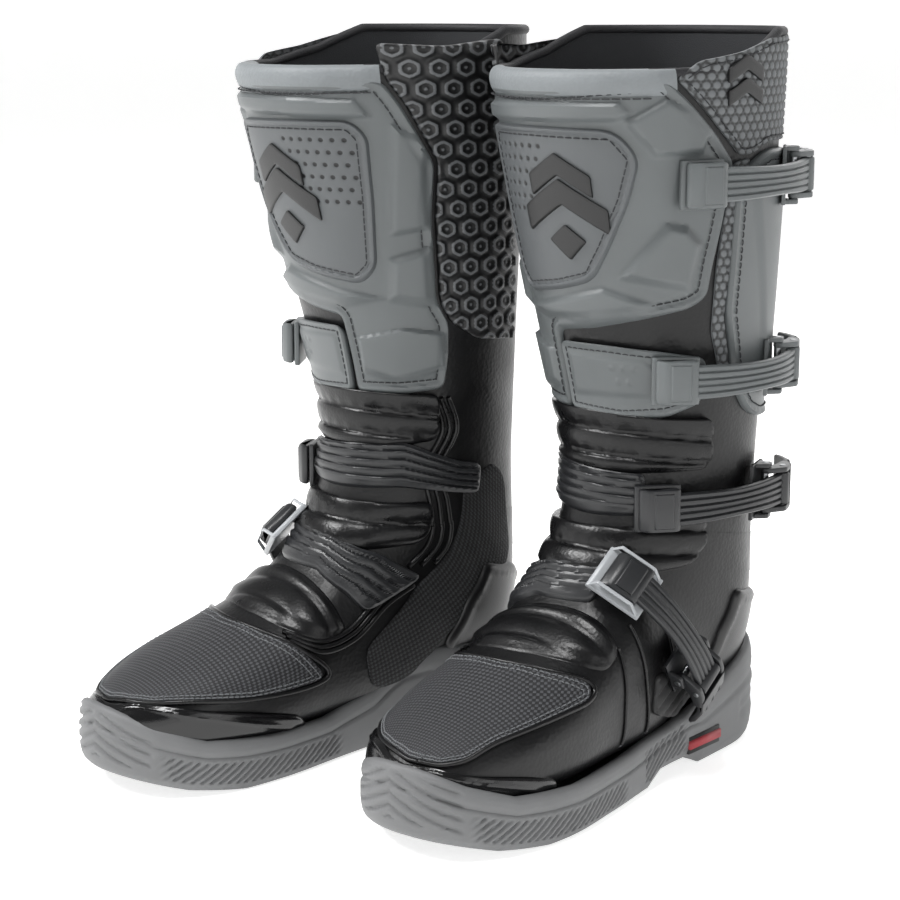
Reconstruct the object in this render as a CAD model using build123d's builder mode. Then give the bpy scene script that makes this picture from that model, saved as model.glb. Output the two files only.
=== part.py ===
from build123d import *
import math
import os

# A pair of off-road riding boots, in millimetres. Each boot is drawn once as a left
# boot in its own frame (x outward from the leg, f forward from the heel, z up) and
# then set down twice, the right one as a mirror image.

# ---- driving dimensions -------------------------------------------------------------
FOOT_CENTRE = 140.0            # distance from the heel seat to the boot's own origin
STANCE = 80.0                  # each boot's distance from the pair's middle
STAGGER = 25.6                 # the left boot stands this far back, the right one forward
SPLAY = 4.35                   # degrees that each toe points outward
CENTRING = -3.559              # brings the middle of the pair's outline to the origin
SKIN = 2.5                     # thickness of the upper's leather and of the lining
PANEL = 3.0                    # thickness of the moulded and sewn-on panels
GAP = 0.1                      # glue line between one layer and the next
PIVOT_F, PIVOT_Z = 74.0, 106.0  # the wearer's ankle
FLEX_LOW, FLEX_HIGH = 100.0, 118.0   # the bellows, measured along the tilted leg line
FLEX_TILT = 0.2                # how much the bellows climbs towards the front

# The form: section by section from the toe, round the heel and up the leg, each given
# by its back point (f, z), its front point (f, z) and its half width.
STATIONS = [
    ((281, 34), (281, 42), 11),
    ((273, 25), (271, 53), 27),
    ((254, 23), (251, 63), 40),
    ((226, 21), (222, 73), 49),
    ((190, 20), (188, 84), 52),
    ((148, 20), (155, 100), 49),
    ((102, 20), (134, 121), 46),
    ((48, 22), (121, 143), 44),
    ((8, 36), (116, 163), 46),
    ((-8, 66), (113, 184), 47),
    ((-8, 108), (114, 206), 48),
    ((-5, 155), (119, 230), 52),
    ((-5, 210), (128, 262), 57),
    ((-6, 270), (139, 300), 62),
    ((-8, 332), (151, 343), 66),
    ((-9, 392), (162, 386), 70),
    ((-9, 428), (167, 416), 71),
]
FOOT_STATIONS = 7              # stations before this one have a squared-off sole side
SECTION_POINTS = 16
EVEN_STEPS = [step / SECTION_POINTS for step in range(SECTION_POINTS + 1)]


def section_point(back, front, half_width, square, phi):
    """A point of one section: phi is 0 at the front or top, 90 outward, 180 at the back."""
    c, s = math.cos(math.radians(phi)), math.sin(math.radians(phi))
    power = 2.2 if c > 0 else 2.2 + 1.6 * square
    r = (abs(c) ** power + abs(s) ** power) ** (-1 / power)
    mid_f, mid_z = (back[0] + front[0]) / 2, (back[1] + front[1]) / 2
    reach_f, reach_z = (front[0] - back[0]) / 2, (front[1] - back[1]) / 2
    return half_width * r * s, mid_f + reach_f * r * c, mid_z + reach_z * r * c


def grown(number, offset):
    """A station's section with its outline moved outward by offset."""
    back, front, half_width = STATIONS[number]
    if number == 0:
        return (back[0] + offset, back[1]), (front[0] + offset, front[1]), half_width
    df, dz = front[0] - back[0], front[1] - back[1]
    size = math.hypot(df, dz)
    df, dz = df / size * offset, dz / size * offset
    return (back[0] - df, back[1] - dz), (front[0] + df, front[1] + dz), half_width + offset


def boot_form(offset):
    """The boot's outer form as one solid, grown outward by offset."""
    with BuildPart() as form:
        for number in range(len(STATIONS)):
            square = max(0.0, min(1.0, FOOT_STATIONS - number))
            back, front, half_width = grown(number, offset)
            mid = (back[0] + front[0]) / 2, (back[1] + front[1]) / 2
            tall = Vector(0, back[0] - front[0], front[1] - back[1]).normalized()
            plane = Plane(origin=(0, FOOT_CENTRE - mid[0], mid[1]), x_dir=(1, 0, 0),
                          z_dir=Vector(1, 0, 0).cross(tall))
            height = math.dist(back, front)
            ring = []
            for step in range(SECTION_POINTS):
                phi = 360 * step / SECTION_POINTS
                flat = section_point((-height / 2, 0), (height / 2, 0), half_width, square, phi)
                ring.append((flat[0], flat[1]))
            with BuildSketch(plane):
                with BuildLine():
                    add(Edge.make_spline(ring, periodic=True, parameters=EVEN_STEPS))
                make_face()
        loft()
    return form.part


def form_point(t, phi, offset):
    """A point of the form at station t (whole or between two), grown by offset."""
    low = min(int(t), len(STATIONS) - 2)
    part = t - low
    rings = []
    for number in (low - 1, low, low + 1, low + 2):
        number = max(0, min(len(STATIONS) - 1, number))
        back, front, half_width = grown(number, offset)
        square = max(0.0, min(1.0, FOOT_STATIONS - number))
        rings.append(section_point(back, front, half_width, square, phi))
    mixed = []
    for a, b, c, d in zip(*rings):
        mixed.append(b + part * (c - a) / 2 + part ** 2 * (2 * a - 5 * b + 4 * c - d) / 2
                     + part ** 3 * (3 * b - a - 3 * c + d) / 2)
    return Vector(mixed[0], FOOT_CENTRE - mixed[1], mixed[2])


def level_point(z, phi, offset):
    """The form's point at height z in direction phi."""
    low, high = 4.0, len(STATIONS) - 1.0
    for _ in range(30):
        t = (low + high) / 2
        if form_point(t, phi, offset).Z < z:
            low = t
        else:
            high = t
    return form_point(t, phi, offset)


def flex_line(level, f):
    """The height of one edge of the bellows at f."""
    return (level + FLEX_TILT * f) / math.sqrt(1 - FLEX_TILT ** 2)


def side_view(outline):
    """Points (f, z) of the side view on the plane through the boot's middle."""
    return [(FOOT_CENTRE - f, z) for f, z in outline]


# ---- layers of the upper, each a shell between two grown forms --------------------------
forms = {}


def layer(inner, outer):
    """A shell from one growth of the form to another."""
    for offset in (inner, outer):
        if offset not in forms:
            forms[offset] = boot_form(offset)
    with BuildPart() as shell:
        add(forms[outer])
        add(forms[inner], mode=Mode.SUBTRACT)
    return shell.part


def cut_out(shell, outline, x_low=-120.0, x_high=120.0, corner=0.0):
    """The part of a shell inside a side-view outline and between two x values."""
    with BuildPart() as piece:
        add(shell)
        with BuildSketch(Plane.YZ.offset(x_low)) as window:
            with BuildLine():
                Polyline(*side_view(outline), close=True)
            make_face()
            if corner:
                fillet(window.vertices(), radius=corner)
        extrude(amount=x_high - x_low, mode=Mode.INTERSECT)
    return piece.part


skin = layer(-SKIN, 0.0)
lining = layer(-2 * SKIN - GAP, -SKIN - GAP)
panel = layer(GAP, PANEL)
badge_layer = layer(PANEL + GAP, PANEL + 1.1)
band_layer = layer(PANEL + GAP, PANEL + 2.6)
whole = layer(-2 * SKIN - GAP, 0.0)
roll = layer(-2 * SKIN - GAP, 4.0)

FRONT, REAR = 330.0, -60.0     # well clear of the boot, for outlines that run off it
TOP_EDGE = [(REAR, 414), (42, 417), (74, 402), (112, 394), (FRONT, 390)]
COLLAR_F, COLLAR_Z = 72.0, 379.0

pieces = {}
pieces["foot_upper"] = cut_out(skin, [(REAR, flex_line(FLEX_LOW, REAR)), (REAR, 0), (FRONT, 0),
                                      (FRONT, flex_line(FLEX_LOW, FRONT))])
pieces["flex_panel"] = cut_out(whole, [
    (REAR, flex_line(FLEX_LOW + 0.3, REAR)), (FRONT, flex_line(FLEX_LOW + 0.3, FRONT)),
    (FRONT, flex_line(FLEX_HIGH - 0.3, FRONT)), (REAR, flex_line(FLEX_HIGH - 0.3, REAR))])
pieces["shaft_upper"] = cut_out(skin, [
    (REAR, flex_line(FLEX_HIGH, REAR)), (FRONT, flex_line(FLEX_HIGH, FRONT)), (FRONT, COLLAR_Z),
    (COLLAR_F, COLLAR_Z), (COLLAR_F, 402), (42, 415), (REAR, 412)])
pieces["liner"] = cut_out(lining, [
    (REAR, flex_line(FLEX_HIGH, REAR)), (FRONT, flex_line(FLEX_HIGH, FRONT)), (FRONT, COLLAR_Z),
    (COLLAR_F, COLLAR_Z), (COLLAR_F, 400), (42, 412), (REAR, 409)])
pieces["collar"] = cut_out(roll, [(COLLAR_F + GAP, COLLAR_Z + GAP), (FRONT, COLLAR_Z + GAP)]
                           + TOP_EDGE[:1:-1] + [(COLLAR_F + GAP, 402)])
pieces["calf_plate"] = cut_out(panel, [(REAR, 350), (18, 350), (48, 326), (40, 280), (36, 212),
                                       (20, 200), (REAR, 198)], x_low=GAP)
pieces["gaiter_panel"] = cut_out(panel, [(REAR, 350.4), (18, 350.4), (50, 326), (92, COLLAR_Z - 0.4),
                                         (COLLAR_F - GAP, COLLAR_Z - 0.4), (COLLAR_F - GAP, 400),
                                         (42, 414), (REAR, 411)], x_low=GAP)
pieces["grip_panel"] = cut_out(panel, [(REAR, 411), (42, 414), (COLLAR_F - GAP, 400),
                                       (COLLAR_F - GAP, COLLAR_Z - 0.4), (118, COLLAR_Z - 0.4),
                                       (97, 335), (97, 252), (78, 240), (58, 208), (20, 196),
                                       (REAR, 206)], x_high=-GAP)

with BuildPart() as shin_plate:
    add(cut_out(panel, [(FRONT, COLLAR_Z - 0.4), (131, COLLAR_Z - 0.4), (86, 336), (84, 312),
                        (92, 282), (106, 266), (FRONT, 254)], x_low=0.0))
    add(cut_out(panel, [(FRONT, COLLAR_Z - 0.4), (121, COLLAR_Z - 0.4), (99, 335), (99, 250),
                        (82, 240), (82, 204), (FRONT, 200)], x_high=0.0))
pieces["shin_plate"] = shin_plate.part
pieces["shin_badge"] = cut_out(badge_layer, [(FRONT, 352), (116, 352), (102, 332), (100, 304),
                                             (118, 264), (FRONT, 258)])

# ---- outsole, footbed and the parts that stand on the sole ----------------------------
SOLE_OUTLINE = [(0, -12), (26, -6), (40, 16), (44, 55), (46, 110), (54, 165), (58, 208), (50, 250),
                (28, 279), (-4, 286), (-34, 270), (-52, 236), (-54, 195), (-47, 145), (-42, 100),
                (-41, 50), (-37, 14), (-24, -7)]
SOLE_TOP = [(REAR, 60), (18, 52), (60, 35), (110, 31), (200, 29), (250, 34), (FRONT, 54)]
SOLE_UNDER = [(72, -1), (78, 5), (88, 8), (102, 8), (112, 5), (120, -1)]
INSERT = (52, 84, 9, 20, 36, 46)       # arch insert: f from, f to, z from, z to, x from, x to

with BuildPart() as outsole:
    with BuildSketch(Plane.XY):
        with BuildLine():
            Spline(*[(x, FOOT_CENTRE - f) for x, f in SOLE_OUTLINE], periodic=True)
        make_face()
    extrude(amount=70)
    with BuildSketch(Plane.YZ.offset(-120)):
        with BuildLine():
            Polyline(*side_view(SOLE_TOP + [(FRONT, 90), (REAR, 90)]), close=True)
        make_face()
        with BuildLine():
            Polyline(*side_view(SOLE_UNDER), close=True)
        make_face()
        with BuildLine():
            Polyline(*side_view([(222, -1), (222, 0), (255, 4), (290, 12), (290, -1)]), close=True)
        make_face()
    extrude(amount=240, mode=Mode.SUBTRACT)
    if GAP not in forms:
        forms[GAP] = boot_form(GAP)
    add(forms[GAP], mode=Mode.SUBTRACT)
    with Locations(((INSERT[4] + 60) / 2, FOOT_CENTRE - (INSERT[0] + INSERT[1]) / 2,
                    (INSERT[2] + INSERT[3]) / 2)):
        Box(60 - INSERT[4], INSERT[1] - INSERT[0], INSERT[3] - INSERT[2], mode=Mode.SUBTRACT)
pieces["outsole"] = outsole.part

with BuildPart() as arch_insert:
    with Locations(((INSERT[4] + 42.5) / 2 + 0.1, FOOT_CENTRE - (INSERT[0] + INSERT[1]) / 2,
                    (INSERT[2] + INSERT[3]) / 2)):
        Box(42.5 - INSERT[4], INSERT[1] - INSERT[0] - 0.2, INSERT[3] - INSERT[2] - 0.2)
pieces["arch_insert"] = arch_insert.part

pieces["footbed"] = cut_out(forms[-SKIN - GAP], [(REAR, 0), (FRONT, 0), (FRONT, 33), (240, 31),
                                                 (200, 28), (60, 28), (20, 40), (REAR, 44)])
pieces["toe_guard"] = cut_out(panel, [(196, 29.6), (250, 34.6), (FRONT, 54.6), (FRONT, 62),
                                      (262, 58), (238, 50), (196, 38)])
pieces["heel_counter"] = cut_out(panel, [(REAR, 61), (18, 52.6), (58, 36.6), (64, 52), (52, 76),
                                         (40, 98), (REAR, 90)])

# ---- fixed straps ------------------------------------------------------------------------
pieces["shin_band"] = cut_out(band_layer, [(FRONT, 207), (102, 209), (102, 238), (FRONT, 245)],
                              x_low=-24.0)
pieces["ankle_strap"] = cut_out(panel, [(FRONT, 150), (92, 150), (64, 141), (64, 162), (92, 172),
                                        (FRONT, 172)], x_high=26.0)
instep_outline = [(98, 74), (141, 150), (165, 138), (118, 62)]
pieces["instep_strap"] = cut_out(panel, instep_outline, x_high=12.0)


# ---- the four buckles ------------------------------------------------------------------
# A buckle is drawn in the plane that its strap wraps in: s runs forward to the catch, n
# outward and w across the strap, with (0, 0) on the boot under the lever's hinge.
HINGE = (0.0, 5.0)             # the lever's hinge pin on its base
EYE = (-10.0, 12.5)            # the strap's pin on the lever
HINGE_PIN, EYE_PIN = 2.0, 1.9
RUNNING = 0.06                 # radial clearance of a pin in its hole
BASE_HALF = 16.0               # half the width across the base's ears
EAR_IN = 13.4                  # inner face of an ear
LEVER_HALF = 13.0              # half the lever's width
CHEEK_IN = 9.9                 # inner face of a lever's cheek
STRAP_HALF = 9.2               # half the strap's width
STRAP_THICK = 3.2
HEAD_LONG, HEAD_TALL, HEAD_HALF = 23.0, 8.0, 12.0


class Buckle:
    """Where one buckle stands: its plane, and its catch's place in that plane."""

    def __init__(self, hinge, catch, middle, spread, catch_along):
        w_dir = (catch - hinge).cross(middle - (hinge + catch) / 2).normalized()
        if w_dir.Z < 0:
            w_dir = w_dir * -1
        self.w_dir = w_dir
        n_dir = spread - spread.dot(w_dir) * w_dir
        self.n_dir = n_dir.normalized()
        self.s_dir = self.n_dir.cross(w_dir)
        if self.s_dir.dot(catch - hinge) < 0:
            self.s_dir = self.s_dir * -1
        self.origin = hinge
        self.catch = self.flat(catch)
        self.middle = self.flat(middle)
        self.catch_slope = math.atan2(catch_along.dot(self.n_dir), catch_along.dot(self.s_dir))

    def flat(self, point):
        away = point - self.origin
        return away.dot(self.s_dir), away.dot(self.n_dir)

    def plane(self, w=0.0):
        """The s-n plane moved along w; its own x is s and its own y is n."""
        normal = self.s_dir.cross(self.n_dir)
        side = 1 if normal.dot(self.w_dir) > 0 else -1
        return Plane(origin=self.origin + self.w_dir * w * side, x_dir=self.s_dir, z_dir=normal)

    def arc(self):
        """Centre and radius of the circle through the eye, the middle and the head."""
        (ax, ay), (bx, by), (cx, cy) = EYE, self.middle, self.head_start()
        d = 2 * (ax * (by - cy) + bx * (cy - ay) + cx * (ay - by))
        ux = ((ax ** 2 + ay ** 2) * (by - cy) + (bx ** 2 + by ** 2) * (cy - ay)
              + (cx ** 2 + cy ** 2) * (ay - by)) / d
        uy = ((ax ** 2 + ay ** 2) * (cx - bx) + (bx ** 2 + by ** 2) * (ax - cx)
              + (cx ** 2 + cy ** 2) * (bx - ax)) / d
        return (ux, uy), math.dist((ux, uy), EYE)

    def at_catch(self, s, n):
        """A point given along and out from the surface at the catch."""
        a = self.catch_slope
        return (self.catch[0] + s * math.cos(a) - n * math.sin(a),
                self.catch[1] + s * math.sin(a) + n * math.cos(a))

    def head_start(self):
        return self.at_catch(-HEAD_LONG / 2 + 1, CATCH_LIFT + HEAD_TALL / 2)


MIDDLE_LIFT = 8.0              # the strap's middle stands this far off the surface
CATCH_PLATE = 2.0
CATCH_LIFT = CATCH_PLATE + 0.6  # the head's underside over the surface


def slab(buckle, points, w_low, w_high, corner=0.0, mode=Mode.ADD):
    """A plate with the given outline in the buckle's plane, from w_low to w_high."""
    with BuildSketch(buckle.plane(w_low)) as outline:
        with BuildLine():
            Polyline(*points, close=True)
        make_face()
        if corner:
            fillet(outline.vertices(), radius=corner)
    extrude(outline.sketch, amount=w_high - w_low, mode=mode)


def disc(buckle, centre, radius, w_low, w_high, mode=Mode.ADD):
    """A round pin or boss across the buckle's plane."""
    with BuildSketch(buckle.plane(w_low)) as round_face:
        with Locations(centre):
            Circle(radius)
    extrude(round_face.sketch, amount=w_high - w_low, mode=mode)


def buckle_base(buckle):
    """Base plate with two ears and the hinge pin that they hold."""
    with BuildPart() as base:
        slab(buckle, [(-9, 0), (13, 0), (13, 1.2), (-9, 1.2)], -BASE_HALF, BASE_HALF)
        for low, high in ((-BASE_HALF, -EAR_IN), (EAR_IN, BASE_HALF)):
            slab(buckle, [(-5, 0), (8, 0), (4, 8.2), (-4, 8.2)], low, high, corner=1.5)
        disc(buckle, HINGE, HINGE_PIN, -BASE_HALF + 0.5, BASE_HALF - 0.5)
    return base.part


def buckle_lever(buckle):
    """Lever: two cheeks on the hinge pin, a curved tail and the strap's pin."""
    with BuildPart() as lever:
        for low, high in ((-LEVER_HALF, -CHEEK_IN), (CHEEK_IN, LEVER_HALF)):
            slab(buckle, [(3.2, 3.4), (3.2, 7.8), (-6, 16.2), (-14, 16.2), (-22, 13.6), (-22, 9.0),
                          (-12, 8.0), (-3, 2.2)], low, high, corner=0.8)
        slab(buckle, [(-17, 16), (-28, 12.6), (-37, 5.8), (-40, 1.5), (-37.5, 0.4), (-34, 3.4),
                      (-27, 8.6), (-17.5, 12)], -LEVER_HALF, LEVER_HALF)
        disc(buckle, HINGE, HINGE_PIN + RUNNING, -LEVER_HALF, LEVER_HALF, mode=Mode.SUBTRACT)
        disc(buckle, EYE, EYE_PIN, -LEVER_HALF + 0.5, LEVER_HALF - 0.5)
    return lever.part


def buckle_strap(buckle):
    """Strap: a curved band with an eye at the lever and a hollow head at the catch."""
    centre, radius = buckle.arc()
    start = math.degrees(math.atan2(EYE[1] - centre[1], EYE[0] - centre[0]))
    end_point = buckle.head_start()
    end = math.degrees(math.atan2(end_point[1] - centre[1], end_point[0] - centre[0]))
    inner, outer = radius - STRAP_THICK / 2, radius + STRAP_THICK / 2
    with BuildPart() as strap:
        with BuildSketch(buckle.plane(-STRAP_HALF)):
            with BuildLine():
                top = CenterArc(centre, outer, start, end - start)
                under = CenterArc(centre, inner, start, end - start)
                Line(top @ 0, under @ 0)
                Line(top @ 1, under @ 1)
            make_face()
        extrude(amount=2 * STRAP_HALF)
        disc(buckle, EYE, 4.4, -STRAP_HALF, STRAP_HALF)
        low, high = CATCH_LIFT, CATCH_LIFT + HEAD_TALL
        half = HEAD_LONG / 2
        slab(buckle, [buckle.at_catch(*p) for p in (
            (-half, low), (half, low), (half, high - 4), (half - 5, high), (-half + 3, high),
            (-half, high - 2))], -HEAD_HALF, HEAD_HALF)
        slab(buckle, [buckle.at_catch(*p) for p in (
            (-7.6, low - 1), (7.6, low - 1), (7.6, low + 4.4), (-7.6, low + 4.4))],
             -7.4, 7.4, mode=Mode.SUBTRACT)
        disc(buckle, EYE, EYE_PIN + RUNNING, -STRAP_HALF, STRAP_HALF, mode=Mode.SUBTRACT)
    return strap.part


def buckle_catch(buckle):
    """Catch plate with the post that the strap's head drops over."""
    with BuildPart() as catch:
        slab(buckle, [buckle.at_catch(*p) for p in (
            (-12, 0), (12, 0), (12, CATCH_PLATE), (-12, CATCH_PLATE))], -HEAD_HALF, HEAD_HALF)
        slab(buckle, [buckle.at_catch(*p) for p in (
            (-5, CATCH_PLATE), (5, CATCH_PLATE), (5, CATCH_PLATE + 3.6), (-4, CATCH_PLATE + 3.6))],
             -6, 6)
    return catch.part


def shaft_buckle(z, hinge_phi, catch_phi, lift, catch_lift):
    """A buckle that wraps level round the leg at height z."""
    outward = level_point(z, hinge_phi, lift + 10) - level_point(z, hinge_phi, lift)
    return Buckle(level_point(z, hinge_phi, lift), level_point(z, catch_phi, catch_lift),
                  level_point(z, (hinge_phi + catch_phi) / 2, catch_lift + MIDDLE_LIFT), outward,
                  level_point(z, catch_phi - 4, catch_lift) - level_point(z, catch_phi + 4, catch_lift))


def instep_buckle(t, catch_t, hinge_phi, catch_phi, lift):
    """The instep buckle, which runs down the side of the foot from station catch_t to t."""
    outward = form_point(t, hinge_phi, lift + 10) - form_point(t, hinge_phi, lift)
    return Buckle(form_point(t, hinge_phi, lift), form_point(catch_t, catch_phi, lift),
                  form_point((t + catch_t) / 2, (hinge_phi + catch_phi) / 2, lift + MIDDLE_LIFT), outward,
                  form_point(catch_t, catch_phi - 4, lift) - form_point(catch_t, catch_phi + 4, lift))


buckles = {
    "calf": shaft_buckle(336, 122, 62, PANEL + 1.4, PANEL + 3.0),
    "shin": shaft_buckle(229, 118, 48, PANEL + 1.4, PANEL + 5.6),
    "ankle": shaft_buckle(156, 114, 42, PANEL + 1.6, PANEL + 1.8),
    "instep": instep_buckle(6.5, 6.1, 96, 38, PANEL + 3.0),
}
for name, buckle in buckles.items():
    pieces[name + "_lever"] = buckle_lever(buckle)
    pieces[name + "_buckle_strap"] = buckle_strap(buckle)
pieces["instep_base"] = buckle_base(buckles["instep"])
pieces["instep_catch"] = buckle_catch(buckles["instep"])
pieces["shaft_bases"] = Compound([buckle_base(buckles[n]) for n in ("calf", "shin", "ankle")])
pieces["shaft_catches"] = Compound([buckle_catch(buckles[n]) for n in ("calf", "shin", "ankle")])

# ---- both boots, set down side by side ------------------------------------------------
os.makedirs("parts", exist_ok=True)
BOOTS = {"left": (STANCE, CENTRING + STAGGER, SPLAY),
         "right": (-STANCE, CENTRING - STAGGER, -SPLAY)}
for side, (x, y, turn) in BOOTS.items():
    for name, shape in pieces.items():
        drawn = mirror(shape, about=Plane.YZ) if side == "right" else shape
        with BuildPart() as piece:
            with Locations(Location((x, y, 0), (0, 0, turn))):
                add(drawn)
        piece.part.label = side + "_" + name
        export_step(piece.part, "parts/" + side + "_" + name + ".step")

# ---- the joint axes, for whoever sets up the hinges -------------------------------------
for side, (x, y, turn) in BOOTS.items():
    seat = Location((x, y, 0), (0, 0, turn))
    hand = -1 if side == "right" else 1
    ankle = seat * Location((0, FOOT_CENTRE - PIVOT_F, PIVOT_Z))
    print(side, "ankle", [round(v, 3) for v in tuple(ankle.position)])
    for name, buckle in buckles.items():
        for pin, (s, n) in (("hinge", HINGE), ("eye", EYE)):
            p = buckle.origin + buckle.s_dir * s + buckle.n_dir * n
            p = seat * Location((p.X * hand, p.Y, p.Z))
            w = seat * Location((buckle.w_dir.X * hand, buckle.w_dir.Y, buckle.w_dir.Z))
            axis = w.position - seat.position
            print(side, name, pin, [round(v, 3) for v in tuple(p.position)],
                  [round(v, 5) for v in tuple(axis)])
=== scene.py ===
import math
import bpy
import numpy as np
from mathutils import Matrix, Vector
from mathutils.geometry import delaunay_2d_cdt


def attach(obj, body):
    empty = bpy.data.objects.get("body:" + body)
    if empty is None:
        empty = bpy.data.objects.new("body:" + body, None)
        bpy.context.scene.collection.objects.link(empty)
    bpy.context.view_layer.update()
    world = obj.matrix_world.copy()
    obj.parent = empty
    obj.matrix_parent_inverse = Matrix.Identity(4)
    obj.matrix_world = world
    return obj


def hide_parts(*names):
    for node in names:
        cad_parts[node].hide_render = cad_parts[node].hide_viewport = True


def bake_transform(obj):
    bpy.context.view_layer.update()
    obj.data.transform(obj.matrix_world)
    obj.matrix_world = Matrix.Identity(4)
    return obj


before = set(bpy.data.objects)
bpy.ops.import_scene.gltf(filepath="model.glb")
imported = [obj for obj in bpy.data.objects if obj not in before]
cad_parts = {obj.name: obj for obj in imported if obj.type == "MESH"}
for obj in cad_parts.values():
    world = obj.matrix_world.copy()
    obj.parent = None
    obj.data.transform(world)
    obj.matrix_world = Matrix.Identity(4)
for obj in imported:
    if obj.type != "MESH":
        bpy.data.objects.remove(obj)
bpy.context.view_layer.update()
MM = 0.001

# ---- The studio -------------------------------------------------------------------
# White paper under and behind the boots, a broad light from the front left and another
# overhead, a weak one from the right and one behind that rims the black leather.


def linear(colour):
    """An sRGB hex colour as linear RGBA."""
    parts = [int(colour[i:i + 2], 16) / 255 for i in (1, 3, 5)]
    return tuple(c / 12.92 if c <= 0.04045 else ((c + 0.055) / 1.055) ** 2.4 for c in parts) + (1,)


def node(tree, kind, settings=None, links=None):
    """Adds a node, sets its attributes or sockets by name, and links its inputs."""
    made = tree.nodes.new(kind)
    for name, value in (settings or {}).items():
        if isinstance(name, str) and hasattr(made, name):
            setattr(made, name, value)
        else:
            made.inputs[name].default_value = value
    for name, output in (links or {}).items():
        tree.links.new(output, made.inputs[name])
    return made


AZIMUTH, ELEVATION = math.radians(45), math.radians(11.8)
PAIR_Y = -0.0036               # the middle of the pair, between the two boots' seats
AIM_RIGHT, AIM_HEIGHT, DISTANCE = 0.0104, 0.1816, 1.216
back = Vector((math.sin(AZIMUTH) * math.cos(ELEVATION), -math.cos(AZIMUTH) * math.cos(ELEVATION),
               math.sin(ELEVATION)))
right = Vector((math.cos(AZIMUTH), math.sin(AZIMUTH), 0))
aim = Vector((0, PAIR_Y, AIM_HEIGHT)) + right * AIM_RIGHT
camera = bpy.data.objects.new("camera", bpy.data.cameras.new("camera"))
camera.data.lens = 86.0
camera.data.clip_start = 0.05
camera.location = aim + back * DISTANCE
camera.rotation_euler = back.to_track_quat("Z", "Y").to_euler()
bpy.context.scene.collection.objects.link(camera)
bpy.context.scene.camera = camera
bpy.context.scene.view_settings.view_transform = "Standard"


def plain(name, **sockets):
    """A material of one even colour; sockets are the shader's, with _ for spaces."""
    material = bpy.data.materials.new(name)
    material.use_nodes = True
    shader = material.node_tree.nodes["Principled BSDF"]
    for socket, value in sockets.items():
        shader.inputs[socket.replace("_", " ")].default_value = value
    return material


def staged(name, points, faces, material):
    """An object of the studio, which isn't part of the boots."""
    mesh = bpy.data.meshes.new(name)
    mesh.from_pydata(points, [], faces)
    mesh.materials.append(material)
    made = bpy.data.objects.new(name, mesh)
    bpy.context.scene.collection.objects.link(made)
    return made


FLOOR_HALF = 90
WHITE = (1, 1, 1, 1)
white_paper = plain("white_paper", Base_Color=linear("#F6F6F5"), Roughness=0.9, Emission_Color=WHITE,
                    Emission_Strength=0.66)
floor = staged("floor", [(-FLOOR_HALF, -FLOOR_HALF, 0), (FLOOR_HALF, -FLOOR_HALF, 0),
                         (FLOOR_HALF, FLOOR_HALF, 0), (-FLOOR_HALF, FLOOR_HALF, 0)],
               [(0, 1, 2, 3)], white_paper)
WALL_FAR, WALL_HIGH, WALL_SIDES = 80.0, 22.0, 32
wall_ring = [(WALL_FAR * math.cos(math.tau * k / WALL_SIDES), WALL_FAR * math.sin(math.tau * k / WALL_SIDES))
             for k in range(WALL_SIDES)]
far_wall = staged("far_wall", [(x, y, z) for z in (-0.01, WALL_HIGH) for x, y in wall_ring],
                  [(k, (k + 1) % WALL_SIDES, WALL_SIDES + (k + 1) % WALL_SIDES, WALL_SIDES + k)
                   for k in range(WALL_SIDES)],
                  plain("white_wall", Emission_Color=WHITE, Emission_Strength=1.0))

world = bpy.data.worlds.new("white_room")
world.use_nodes = True
world.node_tree.nodes["Background"].inputs["Color"].default_value = WHITE
world.node_tree.nodes["Background"].inputs["Strength"].default_value = 0.22
bpy.context.scene.world = world
for light_name, where, size, power in (("key", (-1.0, -1.2, 1.7), 0.6, 38),
                                       ("top", (0.1, -0.6, 2.3), 0.7, 34),
                                       ("fill", (1.9, -0.3, 1.0), 0.9, 3),
                                       ("rim", (-0.6, 1.6, 1.4), 1.2, 12)):
    lamp = bpy.data.objects.new(light_name, bpy.data.lights.new(light_name, "AREA"))
    lamp.data.size = size
    lamp.data.energy = power
    lamp.location = where
    lamp.rotation_euler = (Vector(where) - aim).to_track_quat("Z", "Y").to_euler()
    bpy.context.scene.collection.objects.link(lamp)

# ---- Rubber outsole ------------------------------------------------------------------
# One grey rubber moulding: a wall round the foot, higher at the toe and heel, with
# slanted grip ribs, and a tread underneath. It is compression moulded, so it is matt.

SEATS = {"left": (80.0, 22.041, math.radians(4.35), 1), "right": (-80.0, -29.159, math.radians(-4.35), -1)}
FOOT_CENTRE = 140.0
FLEX_LOW, FLEX_HIGH = 100.0, 118.0   # the bellows, measured up the tilted leg line


def seated(side, points):
    """Points (outward, forward from the heel, up) in mm, set down in the pair's frame."""
    x, y, turn, hand = SEATS[side]
    p = np.asarray(points, float)
    across, along = p[:, 0] * hand, FOOT_CENTRE - p[:, 1]
    return np.stack([x + across * math.cos(turn) - along * math.sin(turn),
                     y + across * math.sin(turn) + along * math.cos(turn), p[:, 2]], 1) * MM


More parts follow.
